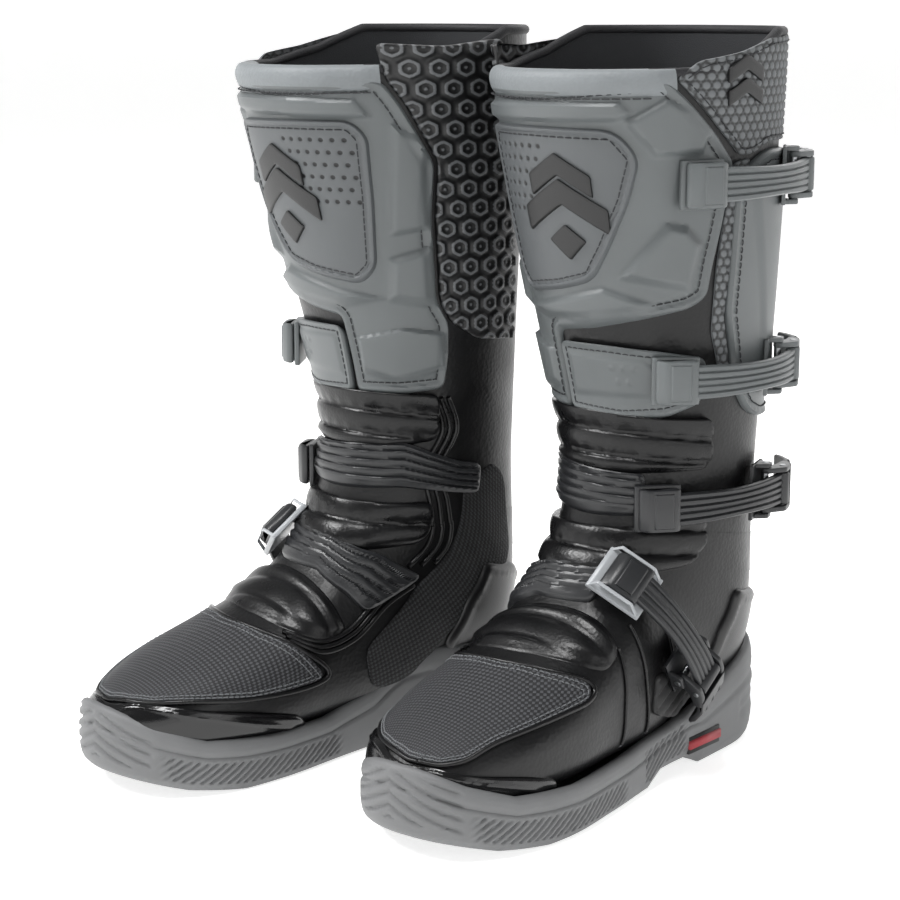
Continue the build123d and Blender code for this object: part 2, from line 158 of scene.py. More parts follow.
def make(side, name, points, faces, material, uv=None, fields=None, sharp=None):
    """A mesh object of one boot; the right boot is the left one's mirror image."""
    mesh = bpy.data.meshes.new(side + "_" + name)
    if SEATS[side][3] < 0:
        faces = [tuple(face)[::-1] for face in faces]
    mesh.from_pydata(seated(side, points).tolist(), [], [tuple(face) for face in faces])
    mesh.polygons.foreach_set("use_smooth", [True] * len(mesh.polygons))
    if sharp:
        mesh.set_sharp_from_angle(angle=math.radians(sharp))
    if uv is not None:
        corner = np.zeros(len(mesh.loops), int)
        mesh.loops.foreach_get("vertex_index", corner)
        layer = mesh.uv_layers.new(name="millimetres")
        layer.data.foreach_set("uv", (np.asarray(uv)[corner] * 0.01).ravel())
    for field, values in (fields or {}).items():
        attribute = mesh.attributes.new(field, "FLOAT", "POINT")
        attribute.data.foreach_set("value", np.asarray(values, float))
    mesh.materials.append(material)
    piece = bpy.data.objects.new(side + "_" + name, mesh)
    bpy.context.scene.collection.objects.link(piece)
    return piece


def pair(name, points, faces, material, body, cad=(), slot_name=None, **more):
    """The piece on both boots; body is the part of each boot that it rides on."""
    made = {}
    for side in SEATS:
        piece = make(side, name, points, faces, material, **more)
        if body == "bellows":
            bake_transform(piece)
        else:
            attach(piece, side + "_" + body)
        if cad:
            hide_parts(*[side + "_" + part for part in cad])
        made[side] = piece
    return made


def between(a, b, c, d, u):
    """The point at share u of a smooth curve from b to c; a and d are its neighbours."""
    return (b + u * (c - a) / 2 + u ** 2 * (2 * a - 5 * b + 4 * c - d) / 2
            + u ** 3 * (3 * b - a - 3 * c + d) / 2)


def curve_through(points, step, closed=False):
    """A smooth curve through 2-D or 3-D points, resampled evenly."""
    p = np.asarray(points, float)
    count = len(p)
    fine = []
    for i in range(count if closed else count - 1):
        near = [(i + k) % count if closed else min(max(i + k, 0), count - 1) for k in (-1, 0, 1, 2)]
        fine.append(between(*p[near], np.linspace(0, 1, 24, endpoint=False)[:, None]))
    fine = np.concatenate(fine + [p[:1] if closed else p[-1:]])
    return evenly(fine, step, closed)


def evenly(line, step, closed=False):
    """A polyline resampled at equal steps."""
    line = np.asarray(line, float)
    run = np.concatenate([[0], np.cumsum(np.linalg.norm(np.diff(line, axis=0), axis=1))])
    number = max(3, round(run[-1] / step))
    at = np.linspace(0, run[-1], number + 1)
    if closed:
        at = at[:-1]
    return np.stack([np.interp(at, run, line[:, k]) for k in range(line.shape[1])], 1)


def smooth_step(value, low, high):
    u = np.clip((np.asarray(value, float) - low) / (high - low), 0, 1)
    return u * u * (3 - 2 * u)


def signed_area(ring):
    """Twice the area inside a closed outline, positive when it runs anticlockwise."""
    return np.sum(ring[:, 0] * np.roll(ring[:, 1], -1) - ring[:, 1] * np.roll(ring[:, 0], -1))


def with_inward(ring):
    """A closed outline run anticlockwise, and the direction inward at each point."""
    ring = ring[::-1] if signed_area(ring) < 0 else ring
    ahead = np.roll(ring, -1, 0) - np.roll(ring, 1, 0)
    return ring, np.stack([-ahead[:, 1], ahead[:, 0]], 1) / np.linalg.norm(ahead, axis=1)[:, None]


def filled(ring, inner, close):
    """The points and triangles that fill a closed outline, with some points inside it."""
    count = len(ring)
    made = delaunay_2d_cdt([Vector(p) for p in np.concatenate([ring, inner]).tolist()],
                           [(i, (i + 1) % count) for i in range(count)], [], 1, close)
    return np.array([(v.x, v.y) for v in made[0]]), [tuple(face) for face in made[2]]


def grid_faces(rows, columns, closed=False):
    """Quads of a grid of points laid out row by row; rows run upward."""
    faces = []
    for r in range(rows - 1):
        for c in range(columns if closed else columns - 1):
            d = (c + 1) % columns
            faces.append((r * columns + c, r * columns + d, (r + 1) * columns + d, (r + 1) * columns + c))
    return faces


SOLE_OUTLINE = [(0, -12), (26, -6), (40, 16), (44, 55), (46, 110), (54, 165), (58, 208), (50, 250),
                (28, 279), (-4, 286), (-34, 270), (-52, 236), (-54, 195), (-47, 145), (-42, 100),
                (-41, 50), (-37, 14), (-24, -7)]


def sole_top(x, f):
    """Height of the wall's upper edge round the foot."""
    outer = np.interp(f, [-12, 18, 45, 70, 100, 150, 200, 245, 270, 286],
                      [62, 54, 44, 36, 30, 27, 27, 31, 40, 49])
    inner = np.interp(f, [-12, 18, 45, 75, 100, 125, 160, 200, 245, 270, 286],
                      [62, 54, 46, 50, 50, 36, 27, 27, 31, 40, 49])
    return np.where(x > 0, outer, inner)


def sole_under(f):
    """Height of the tread: flat, arched under the instep and sprung at the toe."""
    arch = np.interp(f, [68, 80, 110, 124], [0, 7, 7, 0])
    return arch + np.interp(f, [222, 255, 286], [0, 4, 12])


def started(name, rough, ior):
    """A new material, with its tree, its shader and its object coordinates."""
    material = plain(name, Roughness=rough, IOR=ior)
    tree = material.node_tree
    where = node(tree, "ShaderNodeTexCoord").outputs["Object"]
    return material, tree, tree.nodes["Principled BSDF"], where


def shade(colour, share):
    """A hex colour made darker or lighter, as linear RGBA."""
    return tuple(c * share for c in linear(colour)[:3]) + (1,)


def rubber_material(name, colour, rough):
    """Moulded rubber: dull, a fine mould grain, a little darker where dust settles."""
    material, tree, shader, where = started(name, rough, 1.52)
    cloud = node(tree, "ShaderNodeTexNoise", {"Scale": 55.0, "Detail": 4.0}, {"Vector": where})
    tone = node(tree, "ShaderNodeMix", {"data_type": "RGBA", 6: linear(colour), 7: shade(colour, 0.78)},
                {0: cloud.outputs["Fac"]})
    tree.links.new(tone.outputs[2], shader.inputs["Base Color"])
    grain = node(tree, "ShaderNodeTexNoise", {"Scale": 900.0, "Detail": 3.0}, {"Vector": where})
    bump = node(tree, "ShaderNodeBump", {"Strength": 0.16, "Distance": 0.0006},
                {"Height": grain.outputs["Fac"]})
    tree.links.new(bump.outputs["Normal"], shader.inputs["Normal"])
    return material


grey_rubber = rubber_material("grey_rubber", "#6A6B6C", 0.6)
red_rubber = rubber_material("red_rubber", "#9C2830", 0.5)
black_rubber = rubber_material("black_rubber", "#161617", 0.6)
WALL_PROFILE = [(0.0, -5.0), (0.0, -2.6), (0.05, -0.9), (0.12, 0.2), (0.22, 0.9), (0.34, 1.3), (0.5, 1.3),
                (0.62, 1.2), (0.66, 0.5), (0.69, -0.3), (0.72, 0.4), (0.8, 0.7), (0.9, 0.2), (0.96, -0.7),
                (1.0, -2.0), (1.01, -4.0), (0.97, -7.0)]


def wall_rows():
    """The wall's profile with rows close enough for its ribs."""
    shares = [share for share, _ in WALL_PROFILE[:4]] + list(np.arange(0.15, 0.95, 0.028))
    outs = [out for _, out in WALL_PROFILE[:4]]
    outs += list(np.interp(shares[4:], *zip(*WALL_PROFILE[3:14])))
    return list(zip(shares, outs)) + WALL_PROFILE[13:]


RING_STEP, TREAD_STEP = 0.85, 2.4
RIB_DEPTH, RIB_PITCH = 1.3, 4.6
BAR_DEPTH, BAR_PITCH = 2.2, 9.0
ring = curve_through(SOLE_OUTLINE, RING_STEP, closed=True)
ahead = np.roll(ring, -1, 0) - np.roll(ring, 1, 0)
away = np.stack([ahead[:, 1], -ahead[:, 0]], 1)
away *= 1 / np.linalg.norm(away, axis=1)[:, None]
if (away * (ring - ring.mean(0))).sum() < 0:
    away = -away
top, under = sole_top(ring[:, 0], ring[:, 1]), sole_under(ring[:, 1])
levels = wall_rows()
x, f = ring[:, 0], ring[:, 1]
rows = []
for share, out in levels:
    z = under + (top - under) * share
    ahead_ribs = smooth_step(f, 150, 158) * (1 - smooth_step(f, 262, 270))
    phase = ((f * 0.8 + z * 1.1) / RIB_PITCH) % 1.0
    groove = smooth_step(phase, 0, 0.14) * (1 - smooth_step(phase, 0.42, 0.56))
    low_band = smooth_step(share, 0.14, 0.18) * (1 - smooth_step(share, 0.56, 0.62))
    ribs = RIB_DEPTH * groove * ahead_ribs * low_band
    window = smooth_step(f, 84, 88) * (1 - smooth_step(f, 128, 132)) * (x > 0)
    ribs += RIB_DEPTH * groove * window * smooth_step(share, 0.2, 0.25) * (1 - smooth_step(share, 0.82, 0.88))
    heel_lines = (1 - smooth_step(f, 24, 30)) * smooth_step(share, 0.3, 0.34)
    heel_lines = heel_lines * (1 - smooth_step(share, 0.56, 0.6))
    ribs += 0.9 * smooth_step(np.abs((share * 9) % 1 - 0.5), 0.5, 0.3) * heel_lines
    toe = smooth_step(f, 270, 274) * smooth_step(share, 0.2, 0.26) * (1 - smooth_step(share, 0.88, 0.94))
    chevron = ((z + np.abs(x) * 0.45) / 6.5) % 1.0
    ribs += RIB_DEPTH * toe * smooth_step(chevron, 0, 0.16) * (1 - smooth_step(chevron, 0.36, 0.52))
    edge = ring + away * (out - ribs)[:, None]
    rows.append(np.stack([edge[:, 0], edge[:, 1], np.maximum(z, 0.02)], 1))
count = len(ring)
points = np.concatenate(rows)
faces = grid_faces(len(levels), count, closed=True)
if signed_area(ring) > 0:
    faces = [face[::-1] for face in faces]
# the tread: bars across the foot, cut into the flat underside
border = rows[0][:, :2]
inner = np.array([(x, f) for f in np.arange(-10, 286, TREAD_STEP) for x in np.arange(-58, 60, TREAD_STEP)])
edge_gap = np.min(np.linalg.norm(inner[:, None, :] - border[None, ::4, :], axis=2), axis=1)
crossing = np.zeros(len(inner), int)
for a, b in zip(border, np.roll(border, -1, 0)):
    hit = (a[1] > inner[:, 1]) != (b[1] > inner[:, 1])
    with np.errstate(divide="ignore", invalid="ignore"):
        x_hit = a[0] + (inner[:, 1] - a[1]) * (b[0] - a[0]) / (b[1] - a[1])
    crossing += hit & (inner[:, 0] < x_hit)
inner = inner[(crossing % 2 == 1) & (edge_gap > 2.0)]
tread, tread_faces = filled(border, inner, 1e-5)
bars = ((tread[:, 1] + 0.25 * np.abs(tread[:, 0])) / BAR_PITCH) % 1.0
depth = BAR_DEPTH * smooth_step(bars, 0.0, 0.12) * (1 - smooth_step(bars, 0.3, 0.42))
border_gap = np.min(np.linalg.norm(tread[:, None, :] - border[None, ::4, :], axis=2), axis=1)
depth *= smooth_step(border_gap, 2.5, 5.0)
tread_points = np.stack([tread[:, 0], tread[:, 1], sole_under(tread[:, 1]) + 0.02 + depth], 1)
tread_faces = [tuple(i + len(points) for i in face) for face in tread_faces]
pair("outsole_rubber", np.concatenate([points, tread_points]), faces + tread_faces, grey_rubber, "foot",
     cad=("outsole",), slot_name="rubber_grey", sharp=50)

# ---- The leather upper under everything ---------------------------------------------
# Black corrected-grain leather over a lasted lining: the foot from the toe to the
# bellows, and the shaft above it. Its coating gives a soft, broad highlight.

STATIONS = np.array([
    (281, 34, 281, 42, 11), (273, 25, 271, 53, 27), (254, 23, 251, 63, 40), (226, 21, 222, 73, 49),
    (190, 20, 188, 84, 52), (148, 20, 155, 100, 49), (102, 20, 134, 121, 46), (48, 22, 121, 143, 44),
    (8, 36, 116, 163, 46), (-8, 66, 113, 184, 47), (-8, 108, 114, 206, 48), (-5, 155, 119, 230, 52),
    (-5, 210, 128, 262, 57), (-6, 270, 139, 300, 62), (-8, 332, 151, 343, 66), (-9, 392, 162, 386, 70),
    (-9, 428, 167, 416, 71)], float)   # back f, z and front f, z and half width, toe to top
FOOT_STATIONS = 7
FLEX_TILT = 0.2


def section(number, phi, out):
    """Points of whole sections grown outward: phi is 0 at the front or top, 90 outward."""
    row = STATIONS[np.clip(number, 0, len(STATIONS) - 1)]
    first = np.asarray(number)[..., None] <= 0
    rise = row[..., 2:4] - row[..., 0:2]
    grow = rise / np.linalg.norm(rise, axis=-1, keepdims=True) * out[..., None]
    ahead = np.stack([out, np.zeros_like(out)], -1)
    back_point = row[..., 0:2] + np.where(first, ahead, -grow)
    front_point = row[..., 2:4] + np.where(first, ahead, grow)
    half = row[..., 4] + np.where(first[..., 0], 0, out)
    square = np.clip(FOOT_STATIONS - np.clip(number, 0, 99), 0, 1)
    c, s = np.cos(np.radians(phi)), np.sin(np.radians(phi))
    power = np.where(c > 0, 2.2, 2.2 + 1.6 * square)
    r = (np.abs(c) ** power + np.abs(s) ** power) ** (-1 / power)
    mid, reach = (back_point + front_point) / 2, (front_point - back_point) / 2
    return np.stack([half * r * s, mid[..., 0] + reach[..., 0] * r * c,
                     mid[..., 1] + reach[..., 1] * r * c], -1)


def form(t, phi, out=0.0):
    """Points of the boot's form at station t, whole or between, grown outward by out."""
    t, phi, out = (a.astype(float) for a in np.broadcast_arrays(t, phi, out))
    low = np.minimum(t.astype(int), len(STATIONS) - 2)
    return between(*(section(low + k, phi, out) for k in (-1, 0, 1, 2)), (t - low)[..., None])


def station_where(phi, measure, value, out=0.0):
    """The station at which measure(point) reaches value in direction phi."""
    phi, value = (a.astype(float) for a in np.broadcast_arrays(phi, value))
    low, high = np.full(phi.shape, 3.5), np.full(phi.shape, 16.0)
    for _ in range(24):
        middle = (low + high) / 2
        under = measure(form(middle, phi, out)) < value
        low, high = np.where(under, middle, low), np.where(under, high, middle)
    return (low + high) / 2


def up(p):
    return p[..., 2]


def along_leg(p):
    """Distance up the tilted leg line on which the bellows is measured."""
    return p[..., 2] * math.sqrt(1 - FLEX_TILT ** 2) - FLEX_TILT * p[..., 1]


LEG_WIDE = 1.1                     # pattern millimetres for a degree round the leg
FOOT_WIDE, FOOT_LONG = 0.85, 30.0  # and for a degree and for a station on the foot


def laid(space, u, v, out):
    """Places flat pattern coordinates on the form: millimetres round by millimetres up."""
    if space == "leg":
        phi = u / LEG_WIDE
        return form(station_where(phi, up, v), phi, out)
    return form(v / FOOT_LONG, u / FOOT_WIDE, out)


def pattern(space, outline):
    """An outline given in (phi, z) or (phi, station) as flat pattern millimetres."""
    p = np.asarray(outline, float)
    return p * ((LEG_WIDE, 1.0) if space == "leg" else (FOOT_WIDE, FOOT_LONG))


def gap_to(points, ring):
    """Signed distance of points to a closed outline, positive inside."""
    p = np.asarray(points, float)
    best = np.full(len(p), 1e9)
    inside = np.zeros(len(p), bool)
    for a, b in zip(ring, np.roll(ring, -1, 0)):
        run = b - a
        share = np.clip(((p - a) @ run) / max(run @ run, 1e-9), 0, 1)
        best = np.minimum(best, np.hypot(*(p - a - share[:, None] * run).T))
        if a[1] != b[1]:
            crosses = (a[1] > p[:, 1]) != (b[1] > p[:, 1])
            inside ^= crosses & (p[:, 0] < a[0] + (p[:, 1] - a[1]) * run[0] / run[1])
    return np.where(inside, best, -best)


def rounded(outline, radius):
    """A closed outline with its corners rounded."""
    p = np.asarray(outline, float)
    out = []
    for a, b, c in zip(np.roll(p, 1, 0), p, np.roll(p, -1, 0)):
        to_a, to_c = a - b, c - b
        la, lc = np.linalg.norm(to_a), np.linalg.norm(to_c)
        cut = min(radius, la * 0.45, lc * 0.45)
        start, end = b + to_a / la * cut, b + to_c / lc * cut
        for share in np.linspace(0, 1, 7):
            out.append((1 - share) ** 2 * start + 2 * share * (1 - share) * b + share ** 2 * end)
    return np.array(out)


def panel(name, space, outline, low, high, material, body, step=1.7, corner=4.0, edge=1.6, relief=None,
          fields=None, **more):
    """A piece cut to an outline and laid on the boot between two distances from the
    leather, with a rounded edge; relief(flat, inset) adds to the height inside it."""
    closed = rounded(pattern(space, outline), corner)
    ring, inward = with_inward(evenly(np.concatenate([closed, closed[:1]]), step)[:-1])
    inner = []
    for share in (0.3, 1.0):
        moved = ring + inward * edge * share
        inner.append(moved[gap_to(moved, ring) > edge * share * 0.92])
    (u0, v0), (u1, v1) = ring.min(0), ring.max(0)
    rows = np.arange(v0, v1, step * 0.87)
    columns = np.arange(u0, u1, step)
    grid = np.concatenate([np.stack([columns + (k % 2) * step / 2, np.full(len(columns), v)], 1)
                           for k, v in enumerate(rows)])
    inner.append(grid[gap_to(grid, ring) > edge + step * 0.55])
    count = len(ring)
    flat, faces = filled(ring, np.concatenate(inner), 1e-6)
    inset = np.maximum(gap_to(flat, ring), 0)
    inset[:count] = 0
    height = high - edge * (1 - np.sqrt(np.clip(1 - (1 - np.clip(inset / edge, 0, 1)) ** 2, 0, 1)))
    if relief:
        height = height + relief(flat, inset) * smooth_step(inset, 0.0, edge)
    top = laid(space, flat[:, 0], flat[:, 1], height)
    skirt = laid(space, ring[:, 0], ring[:, 1], np.full(count, float(low)))
    base = len(flat)
    faces += [(base + i, base + (i + 1) % count, (i + 1) % count, i) for i in range(count)]
    points = np.concatenate([top, skirt])
    uv = np.concatenate([flat, ring])
    every = {"inset": np.concatenate([inset, np.zeros(count)])}
    for field, maker in (fields or {}).items():
        values = maker(flat, inset)
        every[field] = np.concatenate([values, np.full(count, -9.0)])
    return pair(name, points, faces, material, body, uv=uv, fields=every, **more)


def sheet_grid(stations, phis, out):
    """Points and faces of a closed grid round the form; stations is rows by columns."""
    points = form(stations, phis[None, :] * np.ones_like(stations), out).reshape(-1, 3)
    return points, grid_faces(len(stations), stations.shape[1], closed=True)


def leather(name, colour, rough, pebble=420.0, depth=0.0005, strength=0.35):
    """Coated leather: smooth pigment with a fine closed grain and shallow wrinkles."""
    material, tree, shader, where = started(name, rough, 1.38)
    cells = node(tree, "ShaderNodeTexVoronoi", {"Scale": pebble, "Randomness": 0.9}, {"Vector": where})
    creases = node(tree, "ShaderNodeTexNoise", {"Scale": 38.0, "Detail": 6.0, "Roughness": 0.55},
                   {"Vector": where})
    both = node(tree, "ShaderNodeMath", {"operation": "MULTIPLY_ADD", 1: 0.5},
                {0: creases.outputs["Fac"], 2: cells.outputs["Distance"]})
    bump = node(tree, "ShaderNodeBump", {"Strength": strength, "Distance": depth},
                {"Height": both.outputs[0]})
    tree.links.new(bump.outputs["Normal"], shader.inputs["Normal"])
    tone = node(tree, "ShaderNodeMix", {"data_type": "RGBA", 6: linear(colour), 7: shade(colour, 1.35)},
                {0: creases.outputs["Fac"]})
    tree.links.new(tone.outputs[2], shader.inputs["Base Color"])
    gloss = node(tree, "ShaderNodeMapRange", {"From Min": 0.3, "From Max": 0.7, "To Min": rough - 0.06,
                                              "To Max": rough + 0.08}, {"Value": creases.outputs["Fac"]})
    tree.links.new(gloss.outputs["Result"], shader.inputs["Roughness"])
    return material


black_leather = leather("black_leather", "#0B0B0C", 0.36, strength=0.25)
AROUND = np.arange(-180.0, 180.0, 2.5)
foot_end = station_where(AROUND, along_leg, FLEX_LOW + 2)
shares = np.linspace(0, 1, 90)[:, None]
points, faces = sheet_grid(shares * foot_end[None, :], AROUND, 0.0)
pair("foot_leather", points, faces, black_leather, "foot", cad=("foot_upper",), slot_name="leather_black")
shaft_start = station_where(AROUND, along_leg, FLEX_HIGH - 2)


def top_edge(f):
    """Height of the boot's mouth: high behind, lower over the shin."""
    return np.interp(f, [-60, 42, 74, 112, 330], [414, 414, 402, 394, 390])


shaft_end = station_where(AROUND, lambda p: p[..., 2] - top_edge(p[..., 1]), -2.0)
points, faces = sheet_grid(shaft_start + np.linspace(0, 1, 110)[:, None] * (shaft_end - shaft_start),
                           AROUND, 0.0)
pair("shaft_leather", points, faces, black_leather, "shaft", cad=("shaft_upper",), slot_name="leather_black")

# ---- Lining, insole and bound top edge --------------------------------------------------
# Brushed knit lining glued to the leather's inside, a moulded insole, and a folded
# binding sewn over the raw edge behind the padded collar.

knit = leather("brushed_lining", "#2B2C2E", 0.85, pebble=1500.0, depth=0.0004)
leg_start = station_where(AROUND, along_leg, FLEX_HIGH + 1)
upper_points, upper_faces = sheet_grid(leg_start + np.linspace(0, 1, 60)[:, None] * (shaft_end - leg_start),
                                       AROUND, -3.2)
pair("leg_lining", upper_points, [f[::-1] for f in upper_faces], knit, "shaft", cad=("liner",),
     slot_name="lining")
heel_end = station_where(AROUND, along_leg, FLEX_HIGH + 2)
lower_points, lower_faces = sheet_grid(np.linspace(0.4, 1, 60)[:, None] * heel_end, AROUND, -3.0)
pair("foot_lining", lower_points, [f[::-1] for f in lower_faces], knit, "foot", cad=("footbed",),
     slot_name="lining")


def swept(path, radius, around=8, normals=None):
    """Points and faces of a round tube along a 3-D path, closed at its ends."""
    p = np.asarray(path, float)
    ahead = np.gradient(p, axis=0)
    ahead /= np.linalg.norm(ahead, axis=1)[:, None]
    hint = np.asarray(normals, float) if normals is not None else np.tile((0.0, 0.0, 1.0), (len(p), 1))
    across = np.cross(ahead, hint)
    across /= np.maximum(np.linalg.norm(across, axis=1), 1e-6)[:, None]
    out = np.cross(across, ahead)
    rings = np.stack([p + across * radius * math.cos(angle) + out * radius * math.sin(angle)
                      for angle in np.linspace(0, 2 * math.pi, around, endpoint=False)], 1)
    points = np.concatenate([rings.reshape(-1, 3), p[:1] - ahead[:1] * radius * 0.4,
                             p[-1:] + ahead[-1:] * radius * 0.4])
    faces = [face[::-1] for face in grid_faces(len(p), around, closed=True)]
    first, last, base = len(points) - 2, len(points) - 1, (len(p) - 1) * around
    for k in range(around):
        faces.append((first, k, (k + 1) % around)[::-1])
        faces.append((last, base + (k + 1) % around, base + k)[::-1])
    return points, faces


def merged(parts):
    """Several (points, faces) joined into one."""
    points, faces, base = [], [], 0
    for p, f in parts:
        points.append(np.asarray(p, float))
        faces += [tuple(i + base for i in face) for face in f]
        base += len(p)
    return np.concatenate(points), faces


binding = leather("binding_tape", "#202022", 0.6, pebble=900.0)
rear = np.concatenate([np.arange(44.0, 180.0, 2.0), np.arange(180.0, 313.0, 2.0)])
rear_end = station_where(rear, lambda p: p[..., 2] - top_edge(p[..., 1]), 0.0)
points, faces = swept(form(rear_end, rear, -1.2), 2.9, 10)
pair("edge_binding", points, faces, binding, "shaft", slot_name="lining")

# ---- Padded ankle rolls ---------------------------------------------------------------
# Three groups of foam rolls under soft leather let the ankle bend: quilted channels
# across the front, sewn down at each channel. The foam rounds each roll between seams.

soft_leather = leather("soft_black_leather", "#0B0B0C", 0.30, pebble=520.0, depth=0.0004, strength=0.22)


def rolls(channels, depth):
    """Relief of quilted rolls between seam heights given in pattern millimetres."""
    marks = np.asarray(channels, float)

    def shape(flat, inset):
        v = flat[:, 1] + 0.0012 * flat[:, 0] ** 2 * 0.6
        at = np.clip(np.searchsorted(marks, v) - 1, 0, len(marks) - 2)
        share = np.clip((v - marks[at]) / (marks[at + 1] - marks[at]), 0, 1)
        ripple = 0.35 * np.sin(flat[:, 0] * 0.55 + at * 2.1) * np.exp(-((share - 0.08) / 0.16) ** 2)
        return depth * np.sqrt(np.clip(1 - (2 * share - 1) ** 2, 0, 1)) ** 0.9 + ripple
    return shape


ROLL_A = [(-70, 207), (-40, 208), (0, 208), (45, 206), (72, 206), (74, 190), (72, 174), (40, 174), (0, 173),
          (-40, 174), (-68, 178), (-70, 192)]
ROLL_B = [(-66, 142), (-30, 143), (0, 144), (40, 146), (72, 147), (74, 132), (70, 120), (35, 118), (0, 118),
          (-36, 116), (-68, 116), (-70, 128)]
roll_a = panel("shin_rolls", "leg", ROLL_A, 0.0, 1.2, soft_leather, "shaft", edge=2.2, corner=6,
               relief=rolls([168, 182, 196, 212], 4.2), slot_name="leather_black")
roll_b = panel("ankle_rolls", "leg", ROLL_B, 0.0, 1.0, soft_leather, "bellows", edge=2.2, corner=6,
               relief=rolls([106, 118, 131, 144, 158], 4.2), cad=("flex_panel",), slot_name="flex_mesh")
bellows_rows = np.linspace(0, 1, 26)[:, None]
low_station = station_where(AROUND, along_leg, FLEX_LOW - 2)
high_station = station_where(AROUND, along_leg, FLEX_HIGH + 3)
points, faces = sheet_grid(low_station + bellows_rows * (high_station - low_station), AROUND, 0.25)
pair("flex_skin", points, faces, black_leather, "bellows", slot_name="flex_mesh")

# ---- Moulded shin plate and badge ---------------------------------------------------------
# An injection-moulded TPU shell, sewn to the leather round its edge. Raised facets and
# a rim stiffen it; the satin mould finish shows every bevel as a change of grey.


def tpu(name, colour, rough, dark=None, field=None, width=0.5):
    """Moulded TPU with a satin mould texture; a field above zero is tinted dark."""
    material, tree, shader, where = started(name, rough, 1.5)
    cloud = node(tree, "ShaderNodeTexNoise", {"Scale": 30.0, "Detail": 5.0}, {"Vector": where})
    tone = node(tree, "ShaderNodeMix", {"data_type": "RGBA", 6: shade(colour, 0.9), 7: shade(colour, 1.1)},
                {0: cloud.outputs["Fac"]})
    colour_out = tone.outputs[2]
    if field:
        mark = node(tree, "ShaderNodeAttribute", {"attribute_name": field})
        edge = node(tree, "ShaderNodeMapRange", {"From Min": -width / 2, "From Max": width / 2},
                    {"Value": mark.outputs["Fac"]})
        tint = node(tree, "ShaderNodeMix", {"data_type": "RGBA", 7: linear(dark)},
                    {0: edge.outputs["Result"], 6: colour_out})
        colour_out = tint.outputs[2]
    tree.links.new(colour_out, shader.inputs["Base Color"])
    grain = node(tree, "ShaderNodeTexNoise", {"Scale": 1500.0, "Detail": 2.0}, {"Vector": where})
    bump = node(tree, "ShaderNodeBump", {"Strength": 0.2, "Distance": 0.0003},
                {"Height": grain.outputs["Fac"]})
    tree.links.new(bump.outputs["Normal"], shader.inputs["Normal"])
    return material


grey_tpu = tpu("grey_tpu", "#565A5B", 0.42)
badge_tpu = tpu("badge_tpu", "#4D5052", 0.5, dark="#141415", field="holes")
emblem_tpu = tpu("emblem_tpu", "#0D0D0E", 0.45)


def facets(shapes):
    """Raised flat-topped shapes: each is an outline, a height and a bevel width."""
    def shape(flat, inset):
        total = np.zeros(len(flat))
        for outline, height, bevel in shapes:
            total = np.maximum(total, height * np.clip(gap_to(flat, pattern("leg", outline)) / bevel, 0, 1))
        return total
    return shape


SHIN_PLATE = [(-54, 388), (-22, 386), (0, 386), (26, 389), (50, 391), (59, 379), (71, 361), (80, 345),
              (76, 326), (73, 310), (69, 292), (66, 274), (57, 268), (33, 262), (6, 256), (-18, 253),
              (-20, 206), (-47, 207), (-72, 210), (-75, 228), (-76, 249), (-70, 262), (-70, 310),
              (-73, 341), (-67, 357), (-60, 376)]
plate_shapes = facets([
    ([(-50, 367), (-44, 378), (-24, 379), (33, 380), (37, 373), (31, 369)], 3.0, 2.4),
    ([(33, 369), (50, 382), (58, 376), (68, 362), (64, 352), (44, 350)], 3.4, 3.0),
    ([(23, 284), (47, 316), (57, 314), (64, 304), (58, 276)], 4.2, 5.0),
    ([(-50, 264), (-20, 270), (17, 280), (44, 270), (34, 264), (10, 257), (-20, 257)], 3.6, 5.0),
    ([(-70, 353), (-56, 365), (-52, 322), (-50, 300), (-68, 304)], 3.4, 3.0),
    ([(-69, 296), (-48, 288), (-45, 262), (-69, 258)], 4.0, 5.0),
    ([(-73, 244), (-52, 247), (-25, 240), (-25, 218), (-46, 213), (-73, 222)], 3.2, 2.8),
])


def plate_relief(flat, inset):
    rim = 1.0 * (1 - smooth_step(inset, 3.0, 4.2)) - 0.5 * np.exp(-((inset - 6.0) / 0.9) ** 2)
    return rim + plate_shapes(flat, inset)


panel("shin_plate_moulding", "leg", SHIN_PLATE, 0.0, 3.0, grey_tpu, "shaft", step=1.5, corner=5, edge=1.4,
      relief=plate_relief, cad=("shin_plate",), slot_name="plastic_grey", sharp=38)
BADGE = [(-47, 357), (-41, 366), (-10, 366), (30, 365), (39, 350), (33, 326), (22, 300), (12, 282),
         (-8, 276), (-34, 272), (-43, 282), (-46, 322)]


def perforations(flat, inset):
    """Distance inside the round holes punched in rows over the inner half."""
    best = np.full(len(flat), -9.0)
    for row in range(6):
        for column in range(7):
            centre = np.array([-41 + column * 5.6 - (row % 2) * 2.8, 355 - row * 7.0])
            best = np.maximum(best, 1.3 - np.hypot(*(flat - centre).T))
    return best


def badge_relief(flat, inset):
    rim = 1.4 * (1 - smooth_step(inset, 2.6, 3.6))
    return rim - 0.9 * smooth_step(perforations(flat, inset), -0.5, 0.6)


panel("shin_badge_moulding", "leg", BADGE, 2.0, 4.4, badge_tpu, "shaft", step=1.0, corner=8, edge=1.2,
      relief=badge_relief, fields={"holes": perforations}, cad=("shin_badge",), slot_name="plastic_grey",
      sharp=45)
for number, outline in enumerate((
        [(-14, 340), (2, 352), (18, 340), (18, 328), (2, 340), (-14, 328)],
        [(-20, 322), (2, 338), (24, 322), (24, 308), (2, 324), (-20, 308)],
        [(-8, 304), (2, 313), (12, 304), (2, 293)])):
    panel("shin_emblem_%d" % (number + 1), "leg", outline, 4.0, 6.0, emblem_tpu, "shaft", step=1.3,
          corner=1.2, edge=0.7, slot_name="plastic_grey", sharp=40)

# ---- Shin band ------------------------------------------------------------------------
# The wide TPU tongue that the third buckle pulls round the shin, ribbed and dimpled.

